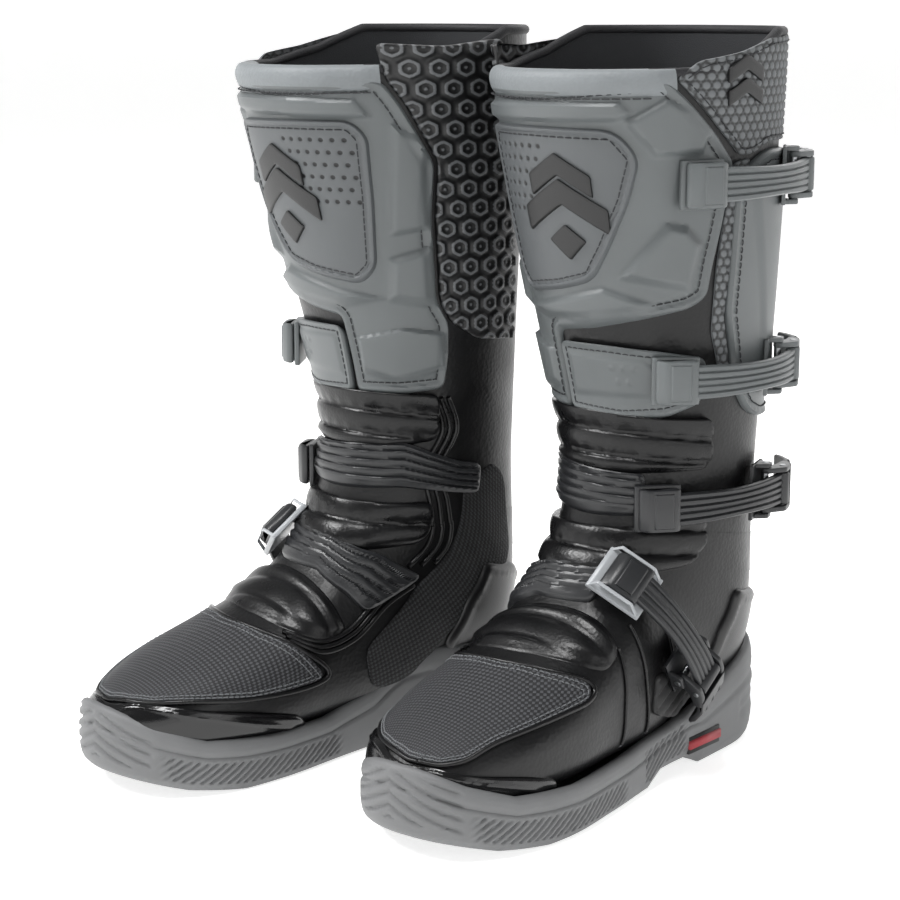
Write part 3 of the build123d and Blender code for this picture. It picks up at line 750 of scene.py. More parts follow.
BAND = [(-17, 246), (-17, 205), (20, 203), (45, 206), (64, 214), (66, 240), (42, 244), (14, 246)]


def band_relief(flat, inset):
    dimples = np.full(len(flat), -9.0)
    for phi, z in ((16, 232), (22, 232), (28, 232), (19, 224), (25, 224)):
        dimples = np.maximum(dimples, 1.6 - np.hypot(flat[:, 0] - phi * LEG_WIDE, flat[:, 1] - z))
    bar = gap_to(flat, pattern("leg", [(-12, 240), (34, 238), (46, 228), (40, 216), (-12, 214)]))
    return (1.2 * np.clip(bar / 2.5, 0, 1) + 0.8 * (1 - smooth_step(inset, 2.4, 3.4))
            + 0.7 * smooth_step(dimples, -0.4, 0.6))


panel("shin_band_moulding", "leg", BAND, 0.0, 4.6, grey_tpu, "shaft", step=1.4, corner=6, edge=1.6,
      relief=band_relief, cad=("shin_band",), slot_name="plastic_grey", sharp=40)

# ---- Calf plate, gaiter and grip panel --------------------------------------------------
# A TPU guard round the outer calf, a woven gaiter over it, and on the inside a rubber
# grip panel whose raised hexagons hold on to the bike.


def hexagons(pitch, wall):
    """Distance from the walls of a honeycomb, positive on the wall."""
    def shape(flat, inset):
        best = np.full(len(flat), 1e9)
        second = np.full(len(flat), 1e9)
        u, v = flat[:, 0] / pitch, flat[:, 1] / pitch / math.sqrt(3)
        for du, dv in ((0, 0), (0.5, 0.5)):
            for a in (0, 1):
                for b in (0, 1):
                    cu, cv = np.floor(u - du) + a + du, np.floor(v - dv) + b + dv
                    gap = np.hypot((u - cu) * pitch, (v - cv) * pitch * math.sqrt(3))
                    second = np.minimum(second, np.maximum(best, gap))
                    best = np.minimum(best, gap)
        return wall / 2 - (second - best) / 2
    return shape


woven_tpu = tpu("woven_gaiter", "#5E6163", 0.6, dark="#232425", field="weave", width=0.8)
grip = tpu("grip_rubber", "#101011", 0.45, dark="#5A5C5E", field="cells", width=0.4)
hexes = hexagons(13.0, 2.0)


def cell_field(flat, inset):
    """Grey outline and core of each rubber cell."""
    wall = hexes(flat, inset)
    return np.maximum(0.75 - np.abs(wall + 1.6), -wall - 4.6)


def grip_relief(flat, inset):
    wall = hexes(flat, inset)
    return (1.5 * smooth_step(-wall, 0.1, 0.9) - 1.1 * smooth_step(-wall, 2.4, 3.3)
            + 0.8 * smooth_step(-wall, 4.2, 5.0))


GRIP = [(-53, 408), (-80, 406), (-108, 410), (-116, 392), (-120, 300), (-124, 234), (-94, 238),
        (-77, 250), (-72, 262), (-72, 310), (-75, 341), (-69, 357), (-62, 376), (-56, 388)]
panel("grip_panel_rubber", "leg", GRIP, 0.0, 2.2, grip, "shaft", step=1.25, corner=4, edge=1.0,
      relief=grip_relief, fields={"cells": cell_field}, cad=("grip_panel",), slot_name="grip_rubber")
CALF_RAISED = [(92, 330), (120, 336), (168, 336), (168, 214), (112, 216)]
CALF = [(78, 264), (82, 330), (92, 346), (104, 352), (140, 350), (178, 350), (178, 199), (140, 199),
        (112, 200), (98, 206), (86, 222)]


def calf_relief(flat, inset):
    raised = np.clip(gap_to(flat, pattern("leg", CALF_RAISED)) / 4, 0, 1)
    return 1.0 * (1 - smooth_step(inset, 3.0, 4.4)) + 1.6 * raised


panel("calf_plate_moulding", "leg", CALF, 0.0, 3.0, grey_tpu, "shaft", step=2.0, corner=6, edge=1.6,
      relief=calf_relief, cad=("calf_plate",), slot_name="plastic_grey", sharp=40)
small = hexagons(5.2, 1.5)
WEAVE = [(54, 391), (64, 400), (84, 404), (104, 411), (140, 413), (178, 413), (178, 354), (104, 356),
         (92, 350), (84, 350), (73, 364), (62, 380)]
STRIP = [(81, 346), (92, 348), (86, 336), (81, 300), (77, 262), (84, 224), (78, 222), (70, 254), (72, 290),
         (76, 318)]
for label, outline in (("gaiter_weave", WEAVE), ("calf_weave", STRIP)):
    panel(label, "leg", outline, 0.0, 2.0, woven_tpu, "shaft", step=1.3, corner=3, edge=1.0,
          relief=lambda flat, inset: -0.7 * smooth_step(small(flat, inset), -0.5, 0.3),
          fields={"weave": small}, cad=("gaiter_panel",), slot_name="weave_grey")

for number, outline in enumerate((
        [(76, 396), (86, 403), (96, 396), (96, 388), (86, 395), (76, 388)],
        [(76, 384), (86, 391), (96, 384), (96, 376), (86, 383), (76, 376)])):
    panel("gaiter_emblem_%d" % (number + 1), "leg", outline, 1.6, 3.4, emblem_tpu, "shaft", step=1.2,
          corner=0.8, edge=0.6, slot_name="plastic_grey", sharp=40)
SPINE = [(182, 126), (190, 140), (193, 200), (193, 404), (190, 411), (182, 411), (179, 404), (179, 140)]
panel("rear_spine", "leg", SPINE, 0.0, 1.6, black_leather, "shaft", step=2.2, corner=4, edge=1.2,
      slot_name="leather_black")
TAB = [(181, 366), (191, 366), (191, 409), (181, 409)]
panel("pull_tab", "leg", TAB, 1.4, 3.0, woven_tpu, "shaft", step=1.5, corner=2, edge=0.8,
      slot_name="weave_grey", fields={"weave": lambda flat, inset: 0.6 * np.sin(flat[:, 1] * 2.2)})

# ---- Padded collar ---------------------------------------------------------------------
# Grey coated leather folded over a foam roll round the front of the mouth.

collar_skin = leather("grey_collar_leather", "#6B6F71", 0.5, pebble=500.0)
collar_phi = np.arange(-54.0, 55.0, 1.5)
rim = station_where(collar_phi, lambda p: p[..., 2] - top_edge(p[..., 1]), 0.0)
PROFILE = [(-12.0, 0.6), (-11.5, 2.6), (-9.5, 3.8), (-6.5, 4.4), (-3.5, 4.4), (-0.8, 3.6), (1.6, 1.8),
           (2.6, -0.8), (2.4, -3.4), (0.6, -5.8), (-3.0, -6.8), (-8.0, -6.6), (-14.0, -5.2), (-18.0, -3.4)]
profile = curve_through(PROFILE, 1.0)
rows = []
for rise, out in profile:
    heights = form(rim, collar_phi, 0.0)[:, 2] + rise
    narrow = 1 - 0.35 * smooth_step(np.abs(collar_phi), 46, 54)
    stations = station_where(collar_phi, up, heights)
    rows.append(form(stations, collar_phi, out * narrow))
points = np.stack(rows).reshape(-1, 3)
faces = grid_faces(len(rows), len(collar_phi))
collar = pair("collar_roll", points, faces, collar_skin, "shaft", cad=("collar",), slot_name="collar_grey")

# ---- Vamp, toe guard and tongue ----------------------------------------------------------
# The toe is smooth leather with a stitched microfibre overlay printed with raised dots,
# and a glossy moulded guard low round the toe where the gear lever rubs.


def side_on(f, z, hand=1):
    """Direction and station of the form's point seen at (f, z) from one side."""
    low, high = 0.0, 16.0
    ends = STATIONS[:, :4]
    for _ in range(40):
        t = (low + high) / 2
        k = min(int(t), len(STATIONS) - 2)
        e = between(*(ends[min(max(k + i, 0), len(STATIONS) - 1)] for i in (-1, 0, 1, 2)), t - k)
        turn = (e[2] - e[0]) * (z - e[1]) - (e[3] - e[1]) * (f - e[0])
        low, high = (t, high) if turn > 0 else (low, t)
    mid, reach = (e[:2] + e[2:]) / 2, (e[2:] - e[:2]) / 2
    q = max(-0.995, min(0.995, ((f - mid[0]) * reach[0] + (z - mid[1]) * reach[1]) / (reach @ reach)))
    power = 2.2 if q > 0 else 2.2 + 1.6 * max(0.0, min(1.0, FOOT_STATIONS - t))
    return hand * math.degrees(math.atan2((1 - abs(q) ** power) ** (1 / power), q)), t


def dotted(name, colour, lifted, rough, pitch, depth=0.0005):
    """Fabric or rubber with a fine staggered grid of raised dots, from millimetre UVs."""
    material = leather(name, colour, rough)
    tree, shader = material.node_tree, material.node_tree.nodes["Principled BSDF"]
    flat = node(tree, "ShaderNodeUVMap", {"uv_map": "millimetres"})
    parts = node(tree, "ShaderNodeSeparateXYZ", {}, {0: flat.outputs["UV"]})
    waves = []
    for v_share in (1.0, -1.0):
        mixed = node(tree, "ShaderNodeMath", {"operation": "MULTIPLY_ADD", 1: v_share},
                     {0: parts.outputs["Y"], 2: parts.outputs["X"]})
        fast = node(tree, "ShaderNodeMath", {"operation": "MULTIPLY", 1: 100 * math.pi * 2 / pitch},
                    {0: mixed.outputs[0]})
        waves.append(node(tree, "ShaderNodeMath", {"operation": "SINE"}, {0: fast.outputs[0]}))
    dots = node(tree, "ShaderNodeMath", {"operation": "MULTIPLY"},
                {0: waves[0].outputs[0], 1: waves[1].outputs[0]})
    knob = node(tree, "ShaderNodeMapRange", {"From Min": -0.1, "From Max": 0.45}, {"Value": dots.outputs[0]})
    tint = node(tree, "ShaderNodeMix", {"data_type": "RGBA", 6: linear(colour), 7: linear(lifted)},
                {0: knob.outputs["Result"]})
    tree.links.new(tint.outputs[2], shader.inputs["Base Color"])
    bump = node(tree, "ShaderNodeBump", {"Strength": 0.8, "Distance": depth},
                {"Height": knob.outputs["Result"]})
    tree.links.new(bump.outputs["Normal"], shader.inputs["Normal"])
    return material


dot_fibre = dotted("dotted_microfibre", "#202022", "#48494C", 0.6, 5.2)
heel_mesh = dotted("heel_mesh", "#111112", "#2C2D2F", 0.7, 4.4)
gloss_tpu = tpu("gloss_black_tpu", "#0C0C0D", 0.14)
VAMP = [(24, 0.72), (6, 0.68), (-24, 0.9), (-46, 1.3), (-66, 2.2), (-84, 3.2), (-97, 4.65),
        (-61, 4.25), (-30, 3.88), (0, 3.78), (28, 3.95), (57, 4.35), (66, 4.2), (61, 3.5), (54, 2.3),
        (56, 1.5), (46, 0.95)]
panel("vamp_overlay", "foot", VAMP, 0.0, 1.5, dot_fibre, "foot", step=1.8, corner=8, edge=1.2,
      slot_name="leather_black")
GUARD = [(-150, 4.6), (-121, 4.2), (-104, 3.4), (-80, 2.3), (-50, 1.3), (-20, 0.62), (10, 0.5), (40, 0.7),
         (66, 1.1), (90, 1.9), (108, 2.8), (124, 3.5), (150, 3.7), (150, 0.12), (-150, 0.12)]
panel("toe_guard_moulding", "foot", GUARD, 0.0, 3.0, gloss_tpu, "foot", step=1.9, corner=8, edge=2.0,
      relief=lambda flat, inset: 0.9 * np.exp(-((inset - 7.0) / 1.6) ** 2), cad=("toe_guard",),
      slot_name="plastic_black", sharp=50)
TONGUE = [(-72, 5.2), (-30, 5.15), (0, 5.2), (40, 5.3), (60, 5.2), (60, 4.75), (50, 4.5), (26, 4.2),
          (0, 4.05), (-30, 4.1), (-58, 4.45), (-72, 4.8)]


def tongue_relief(flat, inset):
    v = flat[:, 1] / FOOT_LONG
    share = np.clip((v - 3.9) / 1.4, 0, 1) * 3 % 1
    return 3.0 * np.sqrt(np.clip(1 - (2 * share - 1) ** 2, 0, 1)) * smooth_step(inset, 2, 7)


tongue = panel("tongue_rolls", "foot", TONGUE, 0.0, 1.4, soft_leather, "foot", edge=2.0, corner=8,
               relief=tongue_relief, slot_name="leather_black")

# ---- Fixed straps across the ankle ---------------------------------------------------------
# Dark TPU straps with lengthwise ribs, sewn down on the inner side; each ends under the
# catch of its buckle.

dark_tpu = tpu("dark_tpu", "#1E1F21", 0.36)


def ribbed(low_edge, high_edge, count, depth):
    """Lengthwise ribs between two edges given as (phi, height) lines."""
    def shape(flat, inset):
        phi = flat[:, 0] / LEG_WIDE
        low = np.interp(phi, *zip(*low_edge))
        high = np.interp(phi, *zip(*high_edge))
        share = (flat[:, 1] - low) / (high - low) * count % 1
        return depth * smooth_step(np.abs(share - 0.5), 0.5, 0.22) * smooth_step(inset, 1.4, 2.6)
    return shape


ANKLE_LOW, ANKLE_HIGH = ([(-96, 142), (-78, 145), (-48, 151), (34, 151)],
                         [(-96, 162), (-78, 165), (-48, 177), (34, 173)])
INSTEP_LOW, INSTEP_HIGH = ([(-79, 80), (-50, 95), (-20, 106), (26, 107)],
                           [(-79, 97), (-54, 113), (-20, 122), (26, 126)])
ANKLE_STRAP = [(34, 173), (34, 151), (0, 150), (-48, 151), (-78, 145), (-94, 143), (-96, 161), (-78, 165),
               (-48, 177), (0, 174)]
INSTEP_STRAP = [(26, 126), (24, 107), (-20, 106), (-50, 95), (-72, 83), (-79, 97), (-54, 113), (-20, 122)]
panel("ankle_strap_moulding", "leg", ANKLE_STRAP, 0.0, 3.4, dark_tpu, "shaft", step=0.95, corner=5, edge=1.3,
      relief=ribbed(ANKLE_LOW, ANKLE_HIGH, 5, 1.6), cad=("ankle_strap",), slot_name="plastic_dark",
      sharp=50)
panel("instep_strap_moulding", "leg", INSTEP_STRAP, 0.0, 3.6, dark_tpu, "foot", step=0.95, corner=5,
      edge=1.3, relief=ribbed(INSTEP_LOW, INSTEP_HIGH, 5, 1.6), cad=("instep_strap",),
      slot_name="plastic_dark", sharp=50)

# ---- Buckles ----------------------------------------------------------------------------
# Each lever turns on a pin in a riveted base and pulls a curved strap whose head drops
# over the catch. All are glass-filled nylon: hard edged, with a satin sheen.

HINGE, EYE = (0.0, 5.0), (-10.0, 12.5)
BASE_HALF, EAR_IN, LEVER_HALF, CHEEK_IN, STRAP_HALF, STRAP_THICK = 16.0, 13.4, 13.0, 9.9, 9.2, 3.2
HEAD_LONG, HEAD_TALL, HEAD_HALF = 23.0, 8.0, 12.0
MIDDLE_LIFT, CATCH_PLATE, CATCH_LIFT = 8.0, 2.0, 2.6


def unit(v):
    return v / np.linalg.norm(v)


def buckle_frame(spot, hinge_phi, catch_phi, lift, catch_lift):
    """Origin, directions s, n, w, the catch and the strap's middle of one buckle."""
    def place(phi, out):
        return np.asarray(spot(phi, out), float).reshape(3)
    origin, catch = place(hinge_phi, lift), place(catch_phi, catch_lift)
    middle = place((hinge_phi + catch_phi) / 2, catch_lift + MIDDLE_LIFT)
    w_dir = unit(np.cross(catch - origin, middle - (origin + catch) / 2))
    w_dir = w_dir * (1 if w_dir[2] > 0 else -1)
    spread = place(hinge_phi, lift + 10) - origin
    n_dir = unit(spread - (spread @ w_dir) * w_dir)
    s_dir = np.cross(n_dir, w_dir)
    s_dir = s_dir * (1 if s_dir @ (catch - origin) > 0 else -1)
    run = place(catch_phi - 4, catch_lift) - place(catch_phi + 4, catch_lift)
    slope = math.atan2(run @ n_dir, run @ s_dir)
    flat = [((p - origin) @ s_dir, (p - origin) @ n_dir) for p in (catch, middle)]
    return {"origin": origin, "axes": (s_dir, n_dir, w_dir), "catch": flat[0], "middle": flat[1],
            "slope": slope}


def at_catch(frame_of, s, n):
    """A point given from the catch, along its slope and out, in the buckle's plane."""
    a, (cs, cn) = frame_of["slope"], frame_of["catch"]
    return cs + s * math.cos(a) - n * math.sin(a), cn + s * math.sin(a) + n * math.cos(a)


def set_in(frame_of, flat, w):
    """Points of a buckle's plane, moved w along its pins, on the boot."""
    s_dir, n_dir, w_dir = frame_of["axes"]
    flat = np.asarray(flat, float)
    w = np.broadcast_to(np.asarray(w, float), (len(flat),))
    return (frame_of["origin"] + flat[:, :1] * s_dir + flat[:, 1:2] * n_dir + w[:, None] * w_dir)


def facing_out(points, faces):
    """Turns a closed shape's faces outward, in the boot's own left-handed frame."""
    total = 0.0
    for face in faces:
        for b, c in zip(face[1:], face[2:]):
            total += points[face[0]] @ np.cross(points[b], points[c])
    return [face[::-1] for face in faces] if total > 0 else faces


def prism(frame_of, outline, w_low, w_high, bevel=0.6, corner=0.8):
    """A plate with a side outline in a buckle's plane, its edges broken by a bevel."""
    ring = rounded(np.asarray(outline, float), corner)
    keep = np.linalg.norm(ring - np.roll(ring, 1, 0), axis=1) > 0.02
    ring, inward = with_inward(ring[keep])
    count = len(ring)
    rows = [set_in(frame_of, ring + inward * inset, w) for inset, w in (
        (bevel, w_low), (bevel * 0.3, w_low + bevel * 0.3), (0, w_low + bevel), (0, w_high - bevel),
        (bevel * 0.3, w_high - bevel * 0.3), (bevel, w_high))]
    faces = grid_faces(len(rows), count, closed=True)
    _, cap = filled(ring + inward * bevel, np.empty((0, 2)), 1e-6)
    flat = [face for face in cap if max(face) < count]
    top = (len(rows) - 1) * count
    faces += [face[::-1] for face in flat] + [tuple(i + top for i in face) for face in flat]
    points = np.concatenate(rows)
    return points, facing_out(points, faces)


def barrel(frame_of, centre, radius, w_low, w_high):
    angles = np.linspace(0, 2 * math.pi, 18, endpoint=False)
    ring = np.stack([centre[0] + radius * np.cos(angles), centre[1] + radius * np.sin(angles)], 1)
    return prism(frame_of, ring, w_low, w_high, bevel=radius * 0.2, corner=0.01)


def middle_of_arc(a, b, c):
    """The centre of the circle through three points."""
    d = 2 * (a[0] * (b[1] - c[1]) + b[0] * (c[1] - a[1]) + c[0] * (a[1] - b[1]))
    aa, bb, cc = (p[0] ** 2 + p[1] ** 2 for p in (a, b, c))
    return ((aa * (b[1] - c[1]) + bb * (c[1] - a[1]) + cc * (a[1] - b[1])) / d,
            (aa * (c[0] - b[0]) + bb * (a[0] - c[0]) + cc * (b[0] - a[0])) / d)


def strap_band(frame_of):
    """The strap between the eye and the head: five lengthwise ribs on a curved band."""
    far = at_catch(frame_of, -HEAD_LONG / 2 + 1, CATCH_LIFT + HEAD_TALL / 2)
    ux, uy = middle_of_arc(EYE, frame_of["middle"], far)
    radius = math.dist((ux, uy), EYE)
    start, end = (math.atan2(p[1] - uy, p[0] - ux) for p in (EYE, far))
    half = STRAP_THICK / 2
    across = np.linspace(-STRAP_HALF + 0.6, STRAP_HALF - 0.6, 41)
    ribs = half - 0.9 + 1.1 * smooth_step(np.abs((across / STRAP_HALF * 2.5 + 0.5) % 1 - 0.5), 0.5, 0.24)
    section_ring = [(w, n) for w, n in zip(across, ribs)]
    section_ring += [(STRAP_HALF, half - 1.2), (STRAP_HALF, -half + 0.5), (STRAP_HALF - 0.6, -half),
                     (-STRAP_HALF + 0.6, -half), (-STRAP_HALF, -half + 0.5), (-STRAP_HALF, half - 1.2)]
    section_ring = np.array(section_ring)
    rows = []
    for share in np.linspace(0, 1, 44):
        angle = start + (end - start) * share
        waist = 1 - 0.12 * math.sin(math.pi * share) ** 2
        reach = radius + section_ring[:, 1]
        flat = np.stack([ux + reach * math.cos(angle), uy + reach * math.sin(angle)], 1)
        rows.append(set_in(frame_of, flat, section_ring[:, 0] * waist))
    points = np.concatenate(rows)
    count = len(section_ring)
    faces = grid_faces(len(rows), count, closed=True)
    faces += [tuple(range(count))[::-1], tuple(range((len(rows) - 1) * count, len(rows) * count))]
    return points, facing_out(points, faces)


def head(frame_of):
    """The strap's head: a bevelled block with a dished top and a raised bar."""
    half, low, high = HEAD_LONG / 2, CATCH_LIFT, CATCH_LIFT + HEAD_TALL
    block = [at_catch(frame_of, *p) for p in (
        (-half, low), (half, low), (half, high - 4.5), (half - 5, high - 0.6), (-half + 3, high - 0.6),
        (-half, high - 2.4))]
    bar = [at_catch(frame_of, *p) for p in (
        (-half + 4, high - 1), (half - 7, high - 1), (half - 8, high + 0.3), (-half + 5, high + 0.3))]
    return [prism(frame_of, block, -HEAD_HALF, HEAD_HALF, bevel=1.6, corner=2.4),
            prism(frame_of, bar, -HEAD_HALF + 2.2, HEAD_HALF - 2.2, bevel=0.8, corner=0.5)]


silver_tpu = tpu("silver_catch", "#9A9DA0", 0.33)
pin_steel = plain("pin_steel", Base_Color=linear("#8E9092"), Metallic=1.0, Roughness=0.3)


def level(z):
    """Points at one height on the leg."""
    return lambda phi, out: form(station_where(phi, up, z, out), phi, out)


def down_foot(t, t_catch, hinge_phi, catch_phi):
    """Points between the hinge's station and the catch's."""
    share = {hinge_phi: 0.0, (hinge_phi + catch_phi) / 2: 0.5}
    return lambda phi, out: form(t + (t_catch - t) * share.get(phi, 1.0), phi, out)


PANEL = 3.0
BUCKLES = {
    "calf": (level(336), 122, 62, PANEL + 1.4, PANEL + 3.0, grey_tpu, "shaft"),
    "shin": (level(229), 118, 48, PANEL + 1.4, PANEL + 5.6, grey_tpu, "shaft"),
    "ankle": (level(156), 114, 42, PANEL + 1.6, PANEL + 1.8, dark_tpu, "shaft"),
    "instep": (down_foot(6.5, 6.1, 96, 38), 96, 38, PANEL + 3.0, PANEL + 3.0, dark_tpu, "foot"),
}
for label, (spot, hinge_phi, catch_phi, lift, catch_lift, finish, on) in BUCKLES.items():
    b = buckle_frame(spot, hinge_phi, catch_phi, lift, catch_lift)
    colour_slot = "plastic_grey" if finish is grey_tpu else "plastic_dark"
    silver = label == "instep"
    look = dict(slot_name=colour_slot, sharp=35)

    points, faces = merged([strap_band(b), barrel(b, EYE, 4.2, -STRAP_HALF, STRAP_HALF)] + head(b))
    pair(label + "_strap_band", points, faces, finish, label + "_strap_body",
         cad=(label + "_buckle_strap",), **look)

    cheek = [(3.2, 3.4), (3.2, 7.8), (-6, 16.2), (-14, 16.2), (-22, 13.6), (-22, 9), (-12, 8), (-3, 2.2)]
    tail = [(-17, 16), (-28, 12.6), (-37, 5.8), (-40, 1.5), (-37.5, 0.4), (-34, 3.4), (-27, 8.6), (-17.5, 12)]
    rib = [(-20, 14), (-28, 13.2), (-36, 7.0), (-35, 6.0), (-27, 10.5), (-20, 13)]
    tail_ribs = [prism(b, rib, w - 1.2, w + 1.2, bevel=0.5, corner=0.3) for w in (-7.5, 0, 7.5)]
    points, faces = merged([prism(b, cheek, -LEVER_HALF, -CHEEK_IN, corner=1.6),
                            prism(b, cheek, CHEEK_IN, LEVER_HALF, corner=1.6),
                            prism(b, tail, -LEVER_HALF, LEVER_HALF, bevel=1.0, corner=1.2)] + tail_ribs)
    pair(label + "_lever_arm", points, faces, finish, label + "_lever_body", cad=(label + "_lever",), **look)
    points, faces = barrel(b, EYE, 1.9, -LEVER_HALF - 0.4, LEVER_HALF + 0.4)
    pair(label + "_lever_pin", points, faces, pin_steel, label + "_lever_body", **look)

    floor_plate = [(-9, -1.0), (13, -1.0), (13, 1.2), (-9, 1.2)]
    ear = [(-5, 0), (8, 0), (4, 8.2), (-4, 8.2)]
    points, faces = merged([prism(b, floor_plate, -BASE_HALF, BASE_HALF, corner=0.4),
                            prism(b, ear, -BASE_HALF, -EAR_IN, corner=1.8),
                            prism(b, ear, EAR_IN, BASE_HALF, corner=1.8)])
    pair(label + "_base_plate", points, faces, finish, on, **look,
         cad=("instep_base",) if silver else ("shaft_bases",))
    points, faces = barrel(b, HINGE, 2.0, -BASE_HALF - 0.3, BASE_HALF + 0.3)
    pair(label + "_base_pin", points, faces, pin_steel, on, **look)

    reach = 17 if silver else 13
    wide = HEAD_HALF + (2.6 if silver else 1)
    flat_plate = [(-reach, -1.5), (reach, -1.5), (reach, 1.0), (reach - 2, CATCH_PLATE),
                  (-reach, CATCH_PLATE)]
    post = [(-5, 1), (5, 1), (5, 5.6), (-4, 5.6)]
    rail = [(-reach + 1, 1), (reach - 1, 1), (reach - 5, 8.6), (-reach + 7, 8.6)]
    flat_plate, post, rail = ([at_catch(b, *p) for p in outline] for outline in (flat_plate, post, rail))
    rails = [prism(b, rail, w - 1.1, w + 1.1, bevel=0.5) for w in ((-13.4, 13.4) if silver else ())]
    points, faces = merged([prism(b, flat_plate, -wide, wide, corner=0.8), prism(b, post, -6, 6)] + rails)
    pair(label + "_catch_plate", points, faces, silver_tpu if silver else finish, on,
         slot_name="plastic_silver" if silver else colour_slot, sharp=35,
         cad=("instep_catch",) if silver else ("shaft_catches",))

# ---- Heel, ankle panels and the outsole's insert ---------------------------------------------
# A dark moulded counter cups the heel; dotted mesh and a ridged rubber panel cover the
# ankle, and a red rubber insert shows through the outsole's arch.

black_tpu = tpu("black_tpu", "#131314", 0.32)
HEEL = [side_on(f, z) for f, z in ((-7, 60), (18, 52), (46, 40), (64, 34), (66, 52), (54, 78), (41, 99),
                                   (10, 93))]
HEEL += [(360 - phi, t) for phi, t in HEEL[::-1]]
panel("heel_counter_moulding", "foot", HEEL, 0.0, 3.0, black_tpu, "foot", step=2.0, corner=6, edge=2.0,
      relief=lambda flat, inset: 0.8 * (1 - smooth_step(inset, 3, 4.5)), cad=("heel_counter",),
      slot_name="plastic_black", sharp=45)
ANKLE_RIDGES = [side_on(f, z) for f, z in ((118, 66), (122, 44), (92, 34), (70, 40), (72, 58))]


def ridges(flat, inset):
    """Slanted ridges across the rubber panel."""
    return 1.3 * smooth_step(np.abs((flat[:, 0] / 6 + flat[:, 1] / 20) % 1 - 0.5), 0.5, 0.25)


panel("ankle_ridges", "foot", ANKLE_RIDGES, 0.0, 1.6, black_rubber, "foot", step=1.3, corner=5, edge=1.0,
      relief=ridges, slot_name="leather_black", sharp=50)
MESH_IN = [side_on(f, z, -1) for f, z in ((58, 150), (92, 92), (134, 62), (128, 36), (96, 36), (60, 62),
                                          (30, 84), (14, 100), (24, 150), (36, 160))]
panel("heel_mesh_inner", "foot", MESH_IN, 0.0, 1.2, heel_mesh, "foot", step=2.2, corner=8, edge=1.0,
      slot_name="leather_black")
BOX_FACES = [(0, 1, 3, 2), (4, 6, 7, 5), (0, 4, 5, 1), (2, 3, 7, 6), (0, 2, 6, 4), (1, 5, 7, 3)]
for label, finish, across, high in (("arch_black_bed", black_rubber, (36.2, 46.2), (9.4, 19.6)),
                                    ("arch_red_insert", red_rubber, (36.0, 47.4), (12.4, 17.2))):
    corners = np.array([(x, f, z) for x in across for f in (52.6, 83.4) for z in high])
    pair(label, corners, facing_out(corners, BOX_FACES), finish, "foot", cad=("arch_insert",),
         slot_name="rubber_red")

# ---- Piping and stitching ------------------------------------------------------------------
# Grey thread in short lockstitches along every sewn edge, and corded piping in the
# seams that run down the ankle.

thread = leather("grey_thread", "#606264", 0.7, pebble=2000.0)
dark_thread = leather("dark_thread", "#2E2F31", 0.7, pebble=2000.0)


def beside(space, path, height):
    """A line of the pattern on the boot, and the way out of the leather along it."""
    on_boot = laid(space, path[:, 0], path[:, 1], np.full(len(path), float(height)))
    above = laid(space, path[:, 0], path[:, 1], np.full(len(path), height + 1.0))
    return on_boot, above - on_boot


STITCH_RADIUS = 0.36
STITCH_DIP = np.array([-0.25, 0.18, 0.18, -0.25])[:, None]   # each stitch dives in at its ends


def stitching(name, space, line, height, material, body, closed=False, inset=0.0, pitch=4.2):
    """A row of stitches on a line drawn on the boot, or inside an outline's edge."""
    flat = pattern(space, line)
    if closed:
        ring = rounded(flat, 4.0)
        ring = evenly(np.concatenate([ring, ring[:1]]), 1.0)
        ring = ring[::-1] if signed_area(ring) < 0 else ring
        ahead = np.gradient(ring, axis=0)
        inward = np.stack([-ahead[:, 1], ahead[:, 0]], 1)
        inward = inward / np.maximum(np.linalg.norm(ahead, axis=1), 1e-6)[:, None]
        moved = ring + inward * inset
        flat = moved[gap_to(moved, ring) > inset * 0.9]
        path = evenly(flat, pitch / 4)
    else:
        path = curve_through(flat, pitch / 4)
    on_boot, above = beside(space, path, height)
    parts = []
    for start in range(0, len(path) - 3, 4):
        stitch, out = on_boot[start:start + 4], above[start:start + 4]
        if np.max(np.linalg.norm(np.diff(stitch, axis=0), axis=1)) > pitch:
            continue
        points, faces = swept(stitch + out * STITCH_DIP, STITCH_RADIUS, 6, normals=out)
        parts.append((points, facing_out(points, faces)))
    points, faces = merged(parts)
    return pair(name, points, faces, material, body, slot_name="leather_black")


def piping(name, space, line, height, radius, body):
    """A leather-covered cord along a line drawn on the boot."""
    on_boot, above = beside(space, curve_through(pattern(space, line), 2.0), height)
    points, faces = swept(on_boot, radius, 8, normals=above)
    return pair(name, points, facing_out(points, faces), soft_leather, body, slot_name="leather_black")


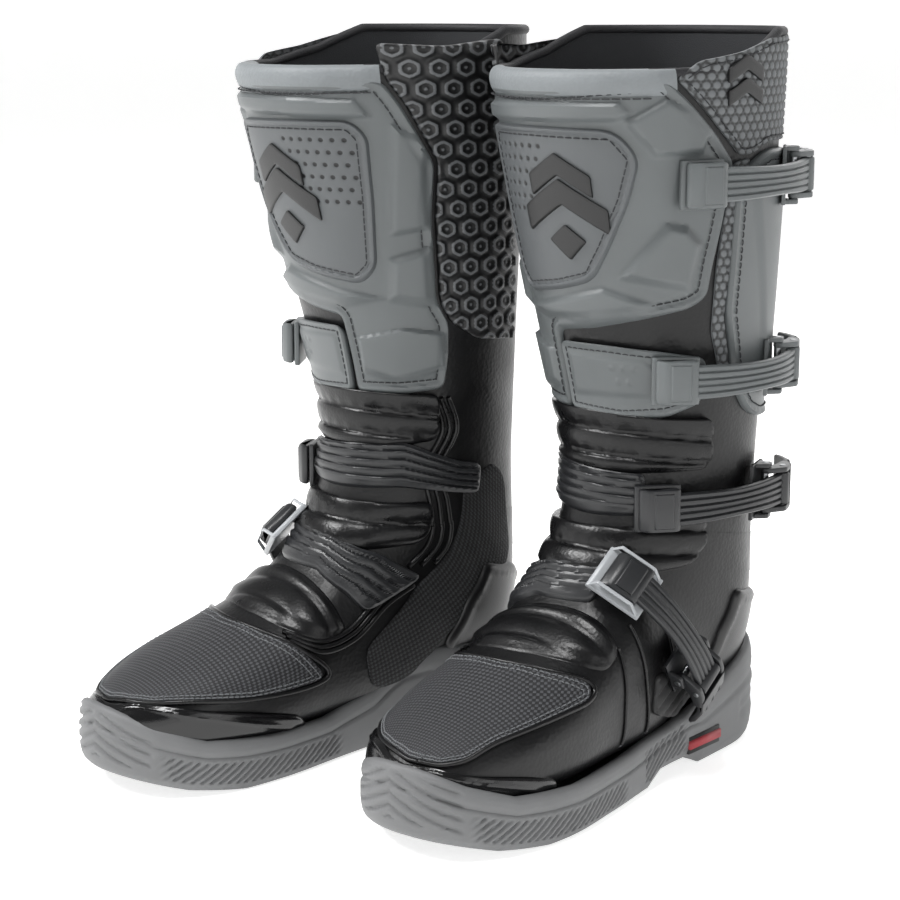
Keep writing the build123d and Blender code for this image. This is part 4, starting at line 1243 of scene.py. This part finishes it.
stitching("plate_stitches", "leg", SHIN_PLATE, 3.3, dark_thread, "shaft", closed=True, inset=6.0)
stitching("badge_stitches", "leg", BADGE, 4.6, dark_thread, "shaft", closed=True, inset=5.2)
stitching("band_stitches", "leg", BAND, 4.7, dark_thread, "shaft", closed=True, inset=4.4)
stitching("vamp_stitches", "foot", VAMP, 1.7, thread, "foot", closed=True, inset=2.6, pitch=3.4)
stitching("vamp_stitches_inner", "foot", VAMP, 1.7, thread, "foot", closed=True, inset=5.4, pitch=3.4)
piping("vamp_cord_outer", "foot", VAMP + VAMP[:1], 0.9, 1.5, "foot")
for height in (182, 196):
    stitching("shin_roll_seam_%d" % height, "leg", [(-62, height), (0, height + 0.5), (64, height)], 1.5,
              dark_thread, "shaft", pitch=3.4)
stitching("calf_stitches", "leg", CALF, 3.5, dark_thread, "shaft", closed=True, inset=6.0)
stitching("gaiter_stitches", "leg", WEAVE, 2.0, dark_thread, "shaft", closed=True, inset=3.0)
under_collar = [(phi, top_edge(72 + 80 * math.cos(math.radians(phi))) - 12.5) for phi in range(-50, 52, 6)]
stitching("collar_stitches_low", "leg", under_collar, 4.2, dark_thread, "shaft")
CORD_GAP = 4.5                     # degrees between the cords beside each other
INNER_CORDS = (
    ("inner_piping", "leg", [(-66, 204), (-71, 184), (-60, 161), (-65, 140), (-69, 126)], "shaft"),
    ("inner_foot_piping", "foot", [(-70, 6.9), (-68, 6.2), (-72, 5.3), (-64, 4.6), (-40, 4.15)], "foot"),
    ("inner_flex_piping", "leg", [(-69, 128), (-71, 116), (-70, 104)], "bellows"),
)
for number in range(3):
    for label, space, line, on in INNER_CORDS:
        piping("%s_%d" % (label, number + 1), space, [(phi - CORD_GAP * number, v) for phi, v in line], 0.7,
               1.5, on)
for number, line in enumerate(([(147, 86), (149, 66), (150, 34)], [(134, 96), (128, 66), (124, 34)],
                               [(118, 112), (104, 84), (98, 60), (86, 36)])):
    points = [side_on(f, z) for f, z in line]
    piping("outer_seam_%d" % (number + 1), "foot", points, 0.5, 1.0, "foot")
    stitching("outer_seam_stitches_%d" % (number + 1), "foot", [(phi + 3.5, t) for phi, t in points], 0.2,
              thread, "foot", pitch=3.4)
